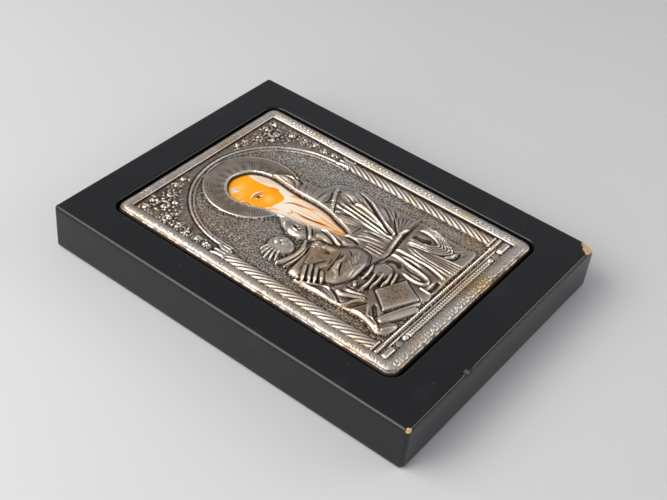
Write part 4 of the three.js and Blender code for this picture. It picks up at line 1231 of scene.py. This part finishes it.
# %% Picture bands
stipple = smoothstep(0.42, 0.2, np.abs(sheet.height)) * (1 - spandrel)
LAP_CUT = -23.0
BAND_EDGES = (PICTURE_BOTTOM, LAP_CUT, SPRINGING, PICTURE_TOP)
BAND_NAMES = ("silver_lap", "silver_figure", "silver_arch")
layers = {"polish": polish, "stipple": stipple, "patina": patina}
silver_pieces = [border]
for band, low, high in zip(BAND_NAMES, BAND_EDGES[:-1], BAND_EDGES[1:]):
    first, last = np.searchsorted(sheet.ys, (low - 0.01, high - 0.01))
    rows = slice(first, min(last + 1, len(sheet.ys)))
    piece = field_body(band, sheet, rows, window_depth, layers, SHEET_UNDER)
    silver_pieces.append(piece)
    print(band, len(piece.data.polygons), "faces")

# %% [markdown]
# ## The painted board
#
# An icon painter lays broad colour first, then lights over it, and fine lines last. The board
# does the same with arrays: one colour for each point of a fine grid, and strokes that blend a
# new colour over the old within their width. The face is a plain calm one, set out by the rule
# that halves the head at the eyes and halves it again at the nose.

# %% Paint
FLESH = (1.0, 0.375, 0.0)
FLESH_LIGHT = (1.0, 0.58, 0.11)
FLESH_SHADE = (0.80, 0.17, 0.004)
LINE_BROWN = (0.10, 0.016, 0.006)
LINE_RED = (0.30, 0.035, 0.008)
HAIR_WHITE = (0.90, 0.80, 0.66)
HAIR_GREY = (0.50, 0.34, 0.22)
HAIR_GOLD = (0.95, 0.34, 0.02)
LIP_RED = (0.62, 0.10, 0.05)
GROUND_BROWN = (0.45, 0.20, 0.03)
# The dark of dirt and painted shade along the window's edge.
WINDOW_DIRT_AND_SHADE = (0.05, 0.02, 0.008)
BRUSH_LIFT = 0.03


class Painting(Field):
    """A field with a colour at each point as well as a height."""

    def prime(self, colour):
        """One colour all over."""
        self.colour = np.empty(self.x.shape + (3,))
        self.colour[:] = colour

    def lay(self, colour, cover, window=...):
        """Blends a colour over what is there: old (1 - cover) + new cover."""
        cover = cover[..., None]
        self.colour[window] = self.colour[window] * (1 - cover) + np.array(colour) * cover

    def wash(self, points, colour, soft=0.5, strength=1.0):
        """Fills a smooth closed outline, blended over soft mm at its edge."""
        line = curve(points, closed=True)
        window = self.window(line, soft + 0.5)
        cover = strength * smoothstep(-soft / 2, soft / 2, self.depth(line, window))
        self.lay(colour, cover, window)

    def stroke(self, points, width, colour, strength=1.0, ends=(0.3, 0.3)):
        """A brush line that thins at its ends, and stands a little above the board."""
        line = curve(points)
        window = self.window(line, width)
        distance, share = self.near(line, window)
        pressure = fade(share, ends)
        half = width / 2 * (0.3 + 0.7 * pressure)
        cover = smoothstep(half + 0.14, half - 0.1, distance) * strength * (0.35 + 0.65 * pressure)
        self.lay(colour, cover, window)
        self.height[window] += BRUSH_LIFT * cover

    def glow(self, x, y, size_x, size_y, turn, colour, strength):
        """A soft oval of colour: its strength falls as exp(-r^2)."""
        c, s = np.cos(turn), np.sin(turn)
        u = ((self.x - x) * c + (self.y - y) * s) / size_x
        v = ((self.y - y) * c - (self.x - x) * s) / size_y
        self.lay(colour, strength * np.exp(-(u * u + v * v)))

    def fan_strokes(self, first, last, count, width, colour, strength):
        """Strokes spaced evenly between two guide lines."""
        first, last = np.array(first, float), np.array(last, float)
        for share in np.linspace(0, 1, count):
            self.stroke(first + (last - first) * share, width, colour, strength)


# The head is an egg whose long axis leans a little to the left. The face is set out along it.
HEAD_CROWN = np.array((-0.4, 57.2))
HEAD_CHIN = np.array((-3.0, 22.0))


def face_point(across, down):
    """A place on the head: across from -1 to 1 between its sides, down from 0 at the crown to 1
    at the chin. The middle of a head turned to the left lies left of its axis."""
    axis = HEAD_CHIN - HEAD_CROWN
    side = np.array((-axis[1], axis[0])) * 0.36
    turned = -0.36 + 0.86 * across - 0.1 * (1 - across**2)
    return HEAD_CROWN + axis * down + side * turned


def paint_head(board):
    """Flesh, lights and shades, then the features: brows, eyes and nose. The beard brings the
    lips, and the hair covers the ear."""
    board.wash([(-3, 60), (-14, 56), (-16, 44), (-12, 32), (-8, 22), (4, 20), (12, 30), (14, 44),
                (10, 57)], FLESH, 0.5)
    at = face_point
    # Lights on the brow, cheeks and nose, and shade at the side and under the brow.
    board.glow(*at(0.1, 0.20), 6.4, 3.0, 0.15, FLESH_LIGHT, 0.75)
    board.glow(*at(-0.2, 0.33), 5.4, 1.5, 0.1, FLESH_LIGHT, 0.6)
    board.glow(*at(0.58, 0.62), 2.9, 2.3, 0.5, FLESH_LIGHT, 0.8)
    board.glow(*at(-0.62, 0.64), 1.3, 2.0, 0, FLESH_LIGHT, 0.6)
    board.glow(*at(1.25, 0.5), 2.6, 8.0, 0, FLESH_SHADE, 0.55)
    board.glow(*at(0.42, 0.45), 3.0, 1.1, 0.15, FLESH_SHADE, 0.55)
    board.glow(*at(-0.55, 0.45), 2.0, 1.0, -0.1, FLESH_SHADE, 0.5)
    board.glow(*at(-1.15, 0.5), 1.1, 7.0, 0, FLESH_SHADE, 0.5)
    # Lines of the brow.
    for level in (0.255, 0.305):
        board.stroke([at(-0.6, level + 0.012), at(0, level), at(0.7, level + 0.015)], 0.42,
                     FLESH_SHADE, 0.55)
    for middle, wide, strength in ((-0.47, 0.30, 0.9), (0.43, 0.40, 1.0)):
        eye, brow = 0.5, 0.43
        board.stroke([at(middle - wide, brow + 0.03), at(middle, brow - 0.014),
                      at(middle + wide, brow + 0.02)], 0.85, HAIR_WHITE, strength)
        board.stroke([at(middle - wide, brow + 0.045), at(middle, brow + 0.006),
                      at(middle + wide, brow + 0.036)], 0.5, LINE_BROWN, strength)
        board.wash([at(middle - 0.6 * wide, eye), at(middle, eye - 0.022),
                    at(middle + 0.62 * wide, eye), at(middle, eye + 0.018)], HAIR_WHITE, 0.2, 0.9)
        board.wash([at(middle - 0.30 * wide, eye), at(middle - 0.06 * wide, eye - 0.022),
                    at(middle + 0.18 * wide, eye), at(middle - 0.06 * wide, eye + 0.02)],
                   LINE_BROWN, 0.2)
        board.stroke([at(middle - 0.7 * wide, eye + 0.004), at(middle, eye - 0.027),
                      at(middle + 0.75 * wide, eye + 0.004)], 0.5, LINE_BROWN)
        board.stroke([at(middle - 0.55 * wide, eye + 0.012), at(middle, eye + 0.024),
                      at(middle + 0.6 * wide, eye + 0.008)], 0.32, LINE_RED, 0.9)
        board.stroke([at(middle - 0.6 * wide, eye + 0.05), at(middle, eye + 0.064),
                      at(middle + 0.65 * wide, eye + 0.044)], 0.4, FLESH_SHADE, 0.8)
    # The nose, seen from a little to its right, and the light along its bridge.
    board.stroke([at(-0.20, 0.44), at(-0.26, 0.56), at(-0.36, 0.68), at(-0.28, 0.725)], 0.5,
                 LINE_RED, 0.95)
    board.stroke([at(-0.12, 0.46), at(-0.16, 0.58), at(-0.24, 0.69)], 0.75, FLESH_LIGHT, 0.95)
    board.stroke([at(-0.34, 0.735), at(-0.18, 0.75), at(-0.04, 0.73), at(0.0, 0.70)], 0.5,
                 LINE_RED, 0.95)


def paint_hair(board):
    """White hair beside the cheek and a small tuft over the brow, in locks with grey between."""
    board.wash([(6.6, 54), (11, 52.4), (14, 46), (13.6, 38), (12, 30), (9, 30), (8.4, 38),
                (7.0, 41.6), (6.2, 46)], HAIR_WHITE, 0.5)
    board.fan_strokes([(7.4, 53.4), (7.2, 49), (7.6, 43)], [(13, 49), (12.6, 42), (11.6, 35)],
                      6, 0.42, HAIR_GREY, 0.8)
    board.fan_strokes([(8, 52.6), (8.2, 48), (8.2, 44)], [(12.4, 47), (11.6, 41), (11, 36)],
                      4, 0.36, HAIR_GOLD, 0.7)
    root = np.array((-7.6, 50.6))
    for angle, reach in ((-0.5, 2.6), (0.1, 3.4), (0.65, 3.8), (1.2, 3.6), (1.8, 3.0), (2.5, 2.4)):
        tip = root + reach * np.array((np.cos(angle), np.sin(angle)))
        board.stroke([root, (root + tip) / 2, tip], 1.25, HAIR_WHITE, 1.0, ends=(0.05, 0.5))
        board.stroke([root, (root + tip) / 2 + (0.35, -0.25), tip], 0.32, LINE_RED, 0.75)


def paint_beard(board):
    """A long white beard: the lips, strands from the cheeks to the tip, and a moustache."""
    board.wash([(-9.6, 31), (-7.2, 29.6), (-3.0, 30.4), (1.4, 29.6), (5.4, 30.4), (8.0, 36),
                (13, 36), (13, 8), (9.4, -6), (4.6, -12), (1, -12), (-3, -3), (-6.4, 8), (-9, 20)],
               HAIR_WHITE, 0.5)
    board.stroke([face_point(-0.36, 0.835), face_point(-0.16, 0.828), face_point(0.1, 0.84)],
                 1.1, LIP_RED, 0.95)
    board.stroke([face_point(-0.4, 0.83), face_point(-0.16, 0.826), face_point(0.14, 0.836)],
                 0.32, LINE_BROWN)
    tip = (3.4, -10.2)
    board.fan_strokes([(-7.6, 28), (-6.4, 16), (-3.4, 2), tip],
                      [(10.8, 32), (10.6, 16), (8, 2), tip], 10, 0.5, HAIR_GREY, 0.45)
    board.fan_strokes([(-6.6, 22), (-5.2, 11), (-2.2, 1), tip],
                      [(9.4, 24), (9.2, 12), (6.8, 0), tip], 6, 0.6, HAIR_GOLD, 0.75)
    # The moustache sweeps out and down on both sides.
    for side, reach in ((-1, 4.2), (1, 7.0)):
        x0, y0 = face_point(-0.14, 0.79)
        half_way, end = x0 + side * reach * 0.5, x0 + side * reach
        for lift in (0.0, 0.9, 1.8):
            board.stroke([(x0, y0 + lift * 0.5), (half_way, y0 + 0.3 + lift * 0.6),
                          (end, y0 - 4.6 + lift)], 1.0, HAIR_WHITE, 1.0)
            board.stroke([(x0, y0 - 0.5 + lift * 0.5), (half_way, y0 - 0.3 + lift * 0.6),
                          (end, y0 - 5.3 + lift)], 0.36, HAIR_GOLD, 0.8)
    # Its dark lines: the side of the moustache, and the parting down the middle.
    board.stroke([(1.6, 28.4), (5.0, 25.4), (6.4, 20), (7.4, 16), (9.4, 10)], 1.3, HAIR_GOLD, 1.0)
    board.stroke([(1.2, 28.2), (4.4, 25.6), (5.8, 21.4), (6.6, 17)], 0.6, LINE_BROWN, 0.95)
    board.stroke([(8.2, 30), (10, 26), (10.8, 22)], 1.2, HAIR_GOLD, 1.0)
    board.stroke([(-3.2, 22.8), (-1, 20.4), (0.6, 22.6)], 0.9, HAIR_GOLD, 1.0)
    board.stroke([(0.4, 21.6), (0.6, 14), (1.6, 8.4), (2.9, 3), (2.8, -3)], 1.5, HAIR_GOLD, 1.0)
    board.stroke([(0.3, 20), (0.8, 12), (2.2, 6), (3.0, -1)], 0.85, LINE_RED, 1.0)
    board.stroke([(0.6, 15), (1.4, 9), (2.5, 4)], 0.5, LINE_BROWN, 1.0)
    board.stroke([(5.2, 10), (5.4, 4), (4.6, -3)], 0.9, HAIR_GOLD, 0.9)
    board.stroke([(2.6, -1), (3.2, -5), (4.2, -9.4)], 2.0, HAIR_GOLD, 1.0, ends=(0.2, 0.3))
    board.stroke([(-3.6, 14), (-2.6, 8), (-1.0, 3)], 0.8, HAIR_GOLD, 0.9)
    board.stroke([(-6.0, 16), (-5.2, 12)], 0.9, HAIR_GOLD, 0.9)


BOARD_STEP = 0.17
painting = Painting(board_low[0], board_high[0], board_low[1], board_high[1], BOARD_STEP)
painting.prime(GROUND_BROWN)
paint_head(painting)
paint_beard(painting)
paint_hair(painting)
# Dirt and painted shade darken the board along the window's edge, under the silver's cut edge.
inset = painting.depth_map(curve(WINDOW, closed=True), 0.5)
painting.lay(WINDOW_DIRT_AND_SHADE, 0.75 * smoothstep(1.0, -0.1, inset))
print("painting", painting.x.shape, "points")


def build_board(field):
    """The painted surface on a box: the grid on top, then walls and one face below."""
    level = board_high[2] - 0.12
    top = np.stack([field.x, field.y, level + np.minimum(field.height, 0.1)], -1).reshape(-1, 3)
    index = np.arange(field.x.size).reshape(field.x.shape)
    quads = grid_quads(index)
    loop = np.concatenate([index[0, :-1], index[:-1, -1], index[-1, :0:-1], index[:0:-1, 0]])
    base = top[loop] * (1, 1, 0) + (0, 0, board_low[2])
    low = len(top) + np.arange(len(loop))
    walls = np.stack([loop, low, np.roll(low, -1), np.roll(loop, -1)], 1)
    faces = quads.reshape(-1, 4).tolist() + walls.tolist() + [low[::-1].tolist()]
    colour = field.colour.reshape(-1, 3)
    return add_mesh("painted_picture", np.vstack([top, base]), faces,
                    {"paint": np.vstack([colour, colour[loop]])})


board = build_board(painting)
print("board", len(board.data.polygons), "faces")

# %% [markdown]
# ## The wooden block
#
# The block is one profile too: out from the middle of its back, up its side, over the face and
# down into the recess. Knocked corners are planes that cut the corner off: every point beyond
# the plane is laid onto it, with some roughness for the torn grain, and marked as bare wood.

# %% Block
PANEL_ROUND = 1.8
PANEL_CORNER = 2.0
RECESS_DEPTH = 4.5
RECESS_GAP = 1.6
RECESS_CORNER = 7.0
RECESS_ROUND = 1.1
BLOCK_SIDE_POINTS = (150, 120)
BLOCK_CORNER_POINTS = 16
# Each chip: its corner, the way its plane faces, how deep it cuts, and how rough it is.
CHIPS = [
    ((1, -1, 1), (0.32, -0.34, 1.0), 1.9, 0.3), ((-1, -1, 1), (-0.6, -1.0, 1.0), 0.6, 0.2),
    ((-1, -1, -1), (-0.8, -1.0, -1.0), 0.5, 0.15), ((-1, 1, 1), (-1.0, 0.6, 1.0), 0.18, 0.08),
]
# A shallow nick on the edge between the face and the lower side.
NICK_X = -33.0
NICK_SIZE = np.array((2.6, 1.5, 1.9))
NICK_PUSH = np.array((0.0, 0.45, -0.55))


def block_rings():
    """The rings of the block's profile, from the back to the floor of the recess."""
    half = panel_size[:2] / 2
    middle = ((panel_high + panel_low) / 2)[:2]
    top = panel_high[2]
    turn = np.linspace(0, np.pi / 2, 8)
    profile = [(inset, 0.0) for inset in (58.0, 40.0, 20.0, 8.0, 3.5)]
    profile += [(PANEL_ROUND * (1 - np.sin(a)), PANEL_ROUND * (1 - np.cos(a))) for a in turn]
    profile += [(0.0, z) for z in np.linspace(PANEL_ROUND, top - PANEL_ROUND, 16)[1:-1]]
    profile += [(PANEL_ROUND * (1 - np.cos(a)), top - PANEL_ROUND * (1 - np.sin(a))) for a in turn]
    rings = []
    for inset, z in profile:
        radius = max(PANEL_CORNER - inset, 0.4)
        plan = ring(half - inset, radius, middle, BLOCK_SIDE_POINTS, BLOCK_CORNER_POINTS, 0.6)
        rings.append(np.column_stack([plan, np.full(len(plan), z)]))
    recess = ((cover_high - cover_low) / 2)[:2] + RECESS_GAP

    def recess_ring(spread, z):
        plan = ring(recess + spread, RECESS_CORNER + spread, COVER_CENTRE, BLOCK_SIDE_POINTS,
                    BLOCK_CORNER_POINTS, 0.6)
        return np.column_stack([plan, np.full(len(plan), z)])

    lip = recess_ring(RECESS_ROUND, top)
    last = rings[-1]
    rings += [last + (lip - last) * s for s in smoothstep(0, 1, np.linspace(0, 1, 22))[1:-1]]
    rings += [recess_ring(RECESS_ROUND * (1 - np.sin(a)), top - RECESS_ROUND * (1 - np.cos(a)))
              for a in np.linspace(0, np.pi / 2, 7)]
    floor_z = top - RECESS_DEPTH
    rings += [recess_ring(0.0, z) for z in np.linspace(top - RECESS_ROUND, floor_z, 5)[1:]]
    rings += [recess_ring(-3.0, floor_z)]
    return np.array(rings)


def knock_corners(points):
    """Lays the points beyond each chip's plane onto it, and dents one nick by sqrt(1 - d^2).
    Gives back how bare the wood is."""
    bare = np.zeros(len(points))
    half = panel_size / 2
    middle = (panel_high + panel_low) / 2
    for corner, facing, cut, rough in CHIPS:
        normal = np.array(facing) / np.linalg.norm(facing)
        place = middle + half * np.array(corner)
        # The rounded corner stands back from the sharp one, so the plane starts from there.
        touch = np.max(np.where(np.linalg.norm(points - place, axis=1) < 12,
                                (points - place) @ normal, -99))
        beyond = (points - place) @ normal - touch + cut
        torn = rough * (noise(points[:, 0] + points[:, 2], points[:, 1], 0.9)
                        + 0.5 * noise(points[:, 0], points[:, 2] * 3, 0.5))
        close = np.linalg.norm(points - place, axis=1) < 14
        hit = close & (beyond + torn > 0)
        points[hit] -= normal * (beyond + 0.6 * torn)[hit][:, None]
        bare[hit] = np.maximum(bare[hit], smoothstep(0, 0.3, (beyond + torn)[hit]))
    # The nick presses the edge in and down.
    away = (points - (NICK_X, panel_low[1] + 0.6, panel_high[2])) / NICK_SIZE
    nick = np.sqrt(np.clip(1 - (away**2).sum(1), 0, 1))
    points += nick[:, None] * NICK_PUSH
    return np.maximum(bare, 0.35 * nick)


def build_block():
    """The rings joined, with one face over the back and one under the recess."""
    rings = block_rings()
    count = rings.shape[1]
    points = rings.reshape(-1, 3)
    wave = 0.05 * noise(points[:, 0], points[:, 1] + points[:, 2], 34.0)
    bare = knock_corners(points)
    rub = smoothstep(0.55, 0.95, noise(points[:, 0] + points[:, 2], points[:, 1], 9.0))
    faces = ring_faces(len(rings), count).tolist()
    faces += [list(range(count))[::-1], list(range(len(points) - count, len(points)))]
    points[:, :2] += (wave * 0.5)[:, None] * (points[:, 2] > 2)[:, None]
    return add_mesh("black_block", points, faces, {"bare": bare, "rub": rub})


block = build_block()
print("block", len(block.data.polygons), "faces")

# %% [markdown]
# ## Shader maths as plain expressions
#
# A node graph is easier to read as arithmetic. The small class below wraps an output socket, so
# that 1 - mask or mask * 0.5 adds the Math node that it means. A finish makes nodes, and gives
# back wires that can be used in more expressions.

# %% Wires and finishes
class Wire:
    """An output socket that can be used in arithmetic."""

    def __init__(self, tree, socket):
        self.tree, self.socket = tree, socket

    def math(self, operation, first, second):
        node = self.tree.nodes.new("ShaderNodeMath")
        node.operation = operation
        for slot, value in zip(node.inputs, (first, second)):
            if isinstance(value, Wire):
                self.tree.links.new(value.socket, slot)
            else:
                slot.default_value = value
        return Wire(self.tree, node.outputs[0])

    def __add__(self, other):
        return self.math("ADD", self, other)

    def __radd__(self, other):
        return self.math("ADD", other, self)

    def __sub__(self, other):
        return self.math("SUBTRACT", self, other)

    def __rsub__(self, other):
        return self.math("SUBTRACT", other, self)

    def __mul__(self, other):
        return self.math("MULTIPLY", self, other)

    def __rmul__(self, other):
        return self.math("MULTIPLY", other, self)

    def step(self, low, high):
        """0 below low and 1 above high, straight between them."""
        node = self.tree.nodes.new("ShaderNodeMapRange")
        node.inputs["From Min"].default_value = low
        node.inputs["From Max"].default_value = high
        self.tree.links.new(self.socket, node.inputs["Value"])
        return Wire(self.tree, node.outputs[0])


class Finish:
    """A material whose one shader is fed by wires."""

    def __init__(self, name):
        self.material = bpy.data.materials.new(name)
        self.material.use_nodes = True
        self.tree = self.material.node_tree
        self.shader = self.tree.nodes["Principled BSDF"]
        self.place = self.node("TexCoord", out="Object")

    def node(self, kind, out=0, settings=None, **values):
        """Any node: its settings first, then the values or wires of its sockets."""
        node = self.tree.nodes.new("ShaderNode" + kind)
        for key, value in (settings or {}).items():
            setattr(node, key, value)
        for key, value in values.items():
            self.feed(node.inputs[key.replace("_", " ")], value)
        return Wire(self.tree, node.outputs[out])

    def feed(self, socket, value):
        if isinstance(value, Wire):
            self.tree.links.new(value.socket, socket)
        elif isinstance(value, tuple) and socket.type == "RGBA":
            socket.default_value = (*value, 1.0)
        else:
            socket.default_value = value

    def noise(self, scale, detail=3.0, rough=0.5):
        return self.node("TexNoise", Vector=self.place, Scale=scale, Detail=detail,
                         Roughness=rough)

    def layer(self, name, out="Fac"):
        return self.node("Attribute", out=out, settings={"attribute_name": name})

    def mix(self, share, first, second, blend="MIX"):
        """A colour between two, by a share from 0 to 1."""
        node = self.tree.nodes.new("ShaderNodeMix")
        node.data_type = "RGBA"
        node.blend_type = blend
        for slot, value in ((0, share), (6, first), (7, second)):
            self.feed(node.inputs[slot], value)
        return Wire(self.tree, node.outputs[2])

    def ramp(self, share, stops):
        """A colour read from stops of (place, colour)."""
        node = self.tree.nodes.new("ShaderNodeValToRGB")
        band = node.color_ramp
        while len(band.elements) < len(stops):
            band.elements.new(0.5)
        for element, (place, colour) in zip(band.elements, stops):
            element.position = place
            element.color = (*colour, 1.0)
        self.feed(node.inputs[0], share)
        return Wire(self.tree, node.outputs[0])

    def bump(self, height, depth_mm, strength=1.0):
        """A normal from a height of 0 to 1 that stands for so many millimetres."""
        return self.node("Bump", Height=height, Distance=depth_mm * MM, Strength=strength)

    def set(self, **values):
        for key, value in values.items():
            self.feed(self.shader.inputs[key.replace("_", " ")], value)
        return self.material


print("shader tools ready")

# %% [markdown]
# ## Oxidised silver
#
# Worn silver has two surfaces in one. Where it is rubbed it is a bright, slightly warm metal.
# Where it isn't, a sulphide film makes it brown-grey, duller and rougher, with faint yellow, pink
# and blue where the film is thin. The polish layer says how much of each there is.

# %% Silver
SILVER_STOPS = [
    (0.0, (0.022, 0.017, 0.014)), (0.22, (0.105, 0.085, 0.072)), (0.42, (0.31, 0.262, 0.228)),
    (0.66, (0.56, 0.50, 0.445)), (1.0, (0.88, 0.83, 0.76)),
]
OLD_POLISH = (0.94, 0.72, 0.42)
FILM_YELLOW = (0.95, 0.80, 0.50)
FILM_BLUE = (0.78, 0.90, 1.0)
FILM_ROSE = (1.0, 0.82, 0.80)
PUNCH_SCALE = 1150.0


def silver_finish():
    """From black hollows to bright ridges by the polish layer, with thin films over it. Where
    the stipple layer is 1, a punch has left small round marks, about 0.9 mm apart."""
    f = Finish("oxidised_silver")
    cloud = f.noise(70.0, 3.0, 0.6)
    fine = f.noise(900.0, 4.0, 0.65)
    grain = f.noise(3600.0, 2.0, 0.6)
    punch = f.node("TexVoronoi", out="Distance", Vector=f.place, Scale=PUNCH_SCALE)
    stipple = f.layer("stipple")
    worn = f.layer("polish") + (cloud - 0.5) * 0.20 + (fine - 0.5) * 0.30
    worn = worn + stipple * (punch - 0.40) * 1.35
    metal = f.ramp(worn, SILVER_STOPS)
    film = f.noise(38.0, 2.0, 0.5)
    yellow = film.step(0.52, 0.72) * 0.52
    blue = film.step(0.46, 0.30) * 0.30
    rose = f.noise(52.0, 2.0, 0.5).step(0.50, 0.70) * 0.46
    tinted = f.mix(f.layer("patina") * 0.9, metal, OLD_POLISH, "MULTIPLY")
    tinted = f.mix(yellow, tinted, FILM_YELLOW, "MULTIPLY")
    tinted = f.mix(blue, tinted, FILM_BLUE, "MULTIPLY")
    tinted = f.mix(rose, tinted, FILM_ROSE, "MULTIPLY")
    height = punch * stipple * 0.9 + fine * 0.22 + grain * 0.12
    return f.set(Base_Color=tinted, Metallic=0.80 + worn.step(0.1, 0.7) * 0.20,
                 Roughness=0.55 - worn.step(0.2, 0.95) * 0.17 + (fine - 0.5) * 0.16,
                 Normal=f.bump(height, 0.16))


silver = silver_finish()
print(silver.name)

# %% [markdown]
# ## Black lacquer, bare wood, paint and floor
#
# The lacquer is black but not empty: it has a soft uneven sheen, a film of dust and single
# specks. At the knocked corners the bare layer brings out wood, with its grain along the block.

# %% Lacquer
LACQUER_BLACK, LACQUER_CLOUD = (0.0050, 0.0052, 0.0065), (0.0085, 0.0088, 0.0105)
RUBBED, DUST = (0.05, 0.05, 0.052), (0.22, 0.215, 0.21)
WOOD_STOPS = [(0.3, (0.46, 0.26, 0.10)), (0.55, (0.74, 0.48, 0.22)), (0.8, (0.86, 0.62, 0.34))]
SPECK_SCALE = 330.0


def lacquer_finish():
    """Lacquer with clouds, rubbed places and lone specks of dust, and wood where it is bare."""
    f = Finish("black_lacquer")
    peel = f.noise(420.0, 3.0, 0.55)
    cloud = f.noise(16.0, 3.0, 0.6)
    smear = f.noise(60.0, 4.0, 0.6)
    specks = f.node("TexVoronoi", out="Distance", Vector=f.place, Scale=SPECK_SCALE)
    lone = f.node("TexVoronoi", out="Color", Vector=f.place, Scale=SPECK_SCALE)
    chosen = f.node("SeparateColor", out="Red", Color=lone).step(0.80, 0.86)
    dust = specks.step(0.085, 0.04) * chosen
    coat = f.mix(cloud.step(0.3, 0.75) * 0.6, LACQUER_BLACK, LACQUER_CLOUD)
    coat = f.mix(f.layer("rub") * 0.08, coat, RUBBED)
    coat = f.mix(dust * 0.55, coat, DUST)
    stretched = f.node("Mapping", Vector=f.place, Scale=(1400.0, 160.0, 1400.0))
    grain = f.node("TexNoise", Vector=stretched, Scale=1.0, Detail=4.0)
    wood = f.ramp(grain, WOOD_STOPS)
    bare = (f.layer("bare") + (peel - 0.5) * 0.5).step(0.35, 0.6)
    rough = 0.25 + (cloud - 0.5) * 0.05 + (smear - 0.5) * 0.08 + dust * 0.3
    relief = peel * 0.35 + dust * 0.6 + bare * grain * 1.5
    return f.set(Base_Color=f.mix(bare, coat, wood), Roughness=rough * (1 - bare) + bare * 0.72,
                 Specular_IOR_Level=0.42, Normal=f.bump(relief, 0.05))


def paint_finish():
    """The board's own colours, unevenly yellowed by age, with fine brush marks."""
    f = Finish("icon_paint")
    brush = f.noise(700.0, 3.0, 0.6)
    age = f.noise(120.0, 3.0, 0.6).step(0.3, 0.8)
    colour = f.mix(age * 0.10, f.layer("paint", out="Color"), (0.80, 0.62, 0.40), "MULTIPLY")
    return f.set(Base_Color=colour, Roughness=0.55 + (brush - 0.5) * 0.2,
                 Specular_IOR_Level=0.3, Normal=f.bump(brush, 0.03))


def floor_finish():
    """Plain pale grey, a little cloudy."""
    f = Finish("pale_floor")
    fleck = f.noise(800.0, 3.0, 0.6)
    cloud = f.noise(3.0, 2.0, 0.5)
    colour = f.mix(cloud.step(0.3, 0.7) * 0.5, (0.60, 0.60, 0.61), (0.66, 0.66, 0.665))
    return f.set(Base_Color=colour, Roughness=0.75 + (fleck - 0.5) * 0.2,
                 Normal=f.bump(fleck, 0.05, 0.4))


lacquer, paint, floor_material = lacquer_finish(), paint_finish(), floor_finish()
for piece in silver_pieces:
    piece.data.materials.append(silver)
block.data.materials.append(lacquer)
board.data.materials.append(paint)
print("finishes on", len(silver_pieces) + 2, "pieces")

# %% [markdown]
# ## Floor and light
#
# The light is soft and comes from high over the icon's upper left corner and from its left, so
# that the embossing is modelled by its own shade. Metal shows what is round it, so a dimmer panel
# beyond the lower right corner gives the far slopes something to reflect.

# %% Stage
FLOOR_HALF = 4000.0
SKY_COLOUR, SKY_STRENGTH = (0.80, 0.82, 0.86, 1.0), 0.46
# Each panel: its place and size in metres, its watts and its colour.
PANELS = {
    "key": ((-0.55, 0.46, 0.80), (0.95, 0.70), 9.0, (1.0, 0.97, 0.92)),
    "left": ((-0.95, 0.20, 0.50), (1.0, 0.6), 4.5, (0.93, 0.97, 1.0)),
    "front": ((0.70, -0.75, 0.50), (0.7, 0.4), 2.6, (1.0, 0.97, 0.94)),
}


def add_floor():
    """One large square under the block."""
    size = FLOOR_HALF
    corners = [(-size, -size, 0), (size, -size, 0), (size, size, 0), (-size, size, 0)]
    floor = add_mesh("floor", corners, [(0, 1, 2, 3)], smooth=False)
    floor.data.materials.append(floor_material)


def add_panel_light(name, place, size, watts, colour):
    """An area light that faces the icon."""
    data = bpy.data.lights.new(name, "AREA")
    data.shape = "RECTANGLE"
    data.size, data.size_y = size
    data.energy = watts
    data.color = colour
    put_in_place(name, data, place, place, np.cross((0.0, 0.0, 1.0), place))


add_floor()
world = bpy.data.worlds.new("studio")
bpy.context.scene.world = world
world.use_nodes = True
sky = world.node_tree.nodes["Background"]
sky.inputs["Color"].default_value = SKY_COLOUR
sky.inputs["Strength"].default_value = SKY_STRENGTH
bpy.context.scene.view_settings.view_transform = "Standard"
for name, settings in PANELS.items():
    add_panel_light(name, *settings)
print("stage with", len(PANELS), "panels of light")

# %% [markdown]
# ## Which piece stands for which part of the frame
#
# Every piece rides on the one body. The silver pieces replace the cover, the picture replaces the
# board, and the block replaces the plain block.

# %% Ride and replace
stands_for = [(piece, "silver", "silver_cover") for piece in silver_pieces]
stands_for += [(board, "icon_paint", "painted_board"), (block, "black_lacquer", "wood_panel")]
for piece, slot, node in stands_for:
    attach(piece, "root")
    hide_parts(node)
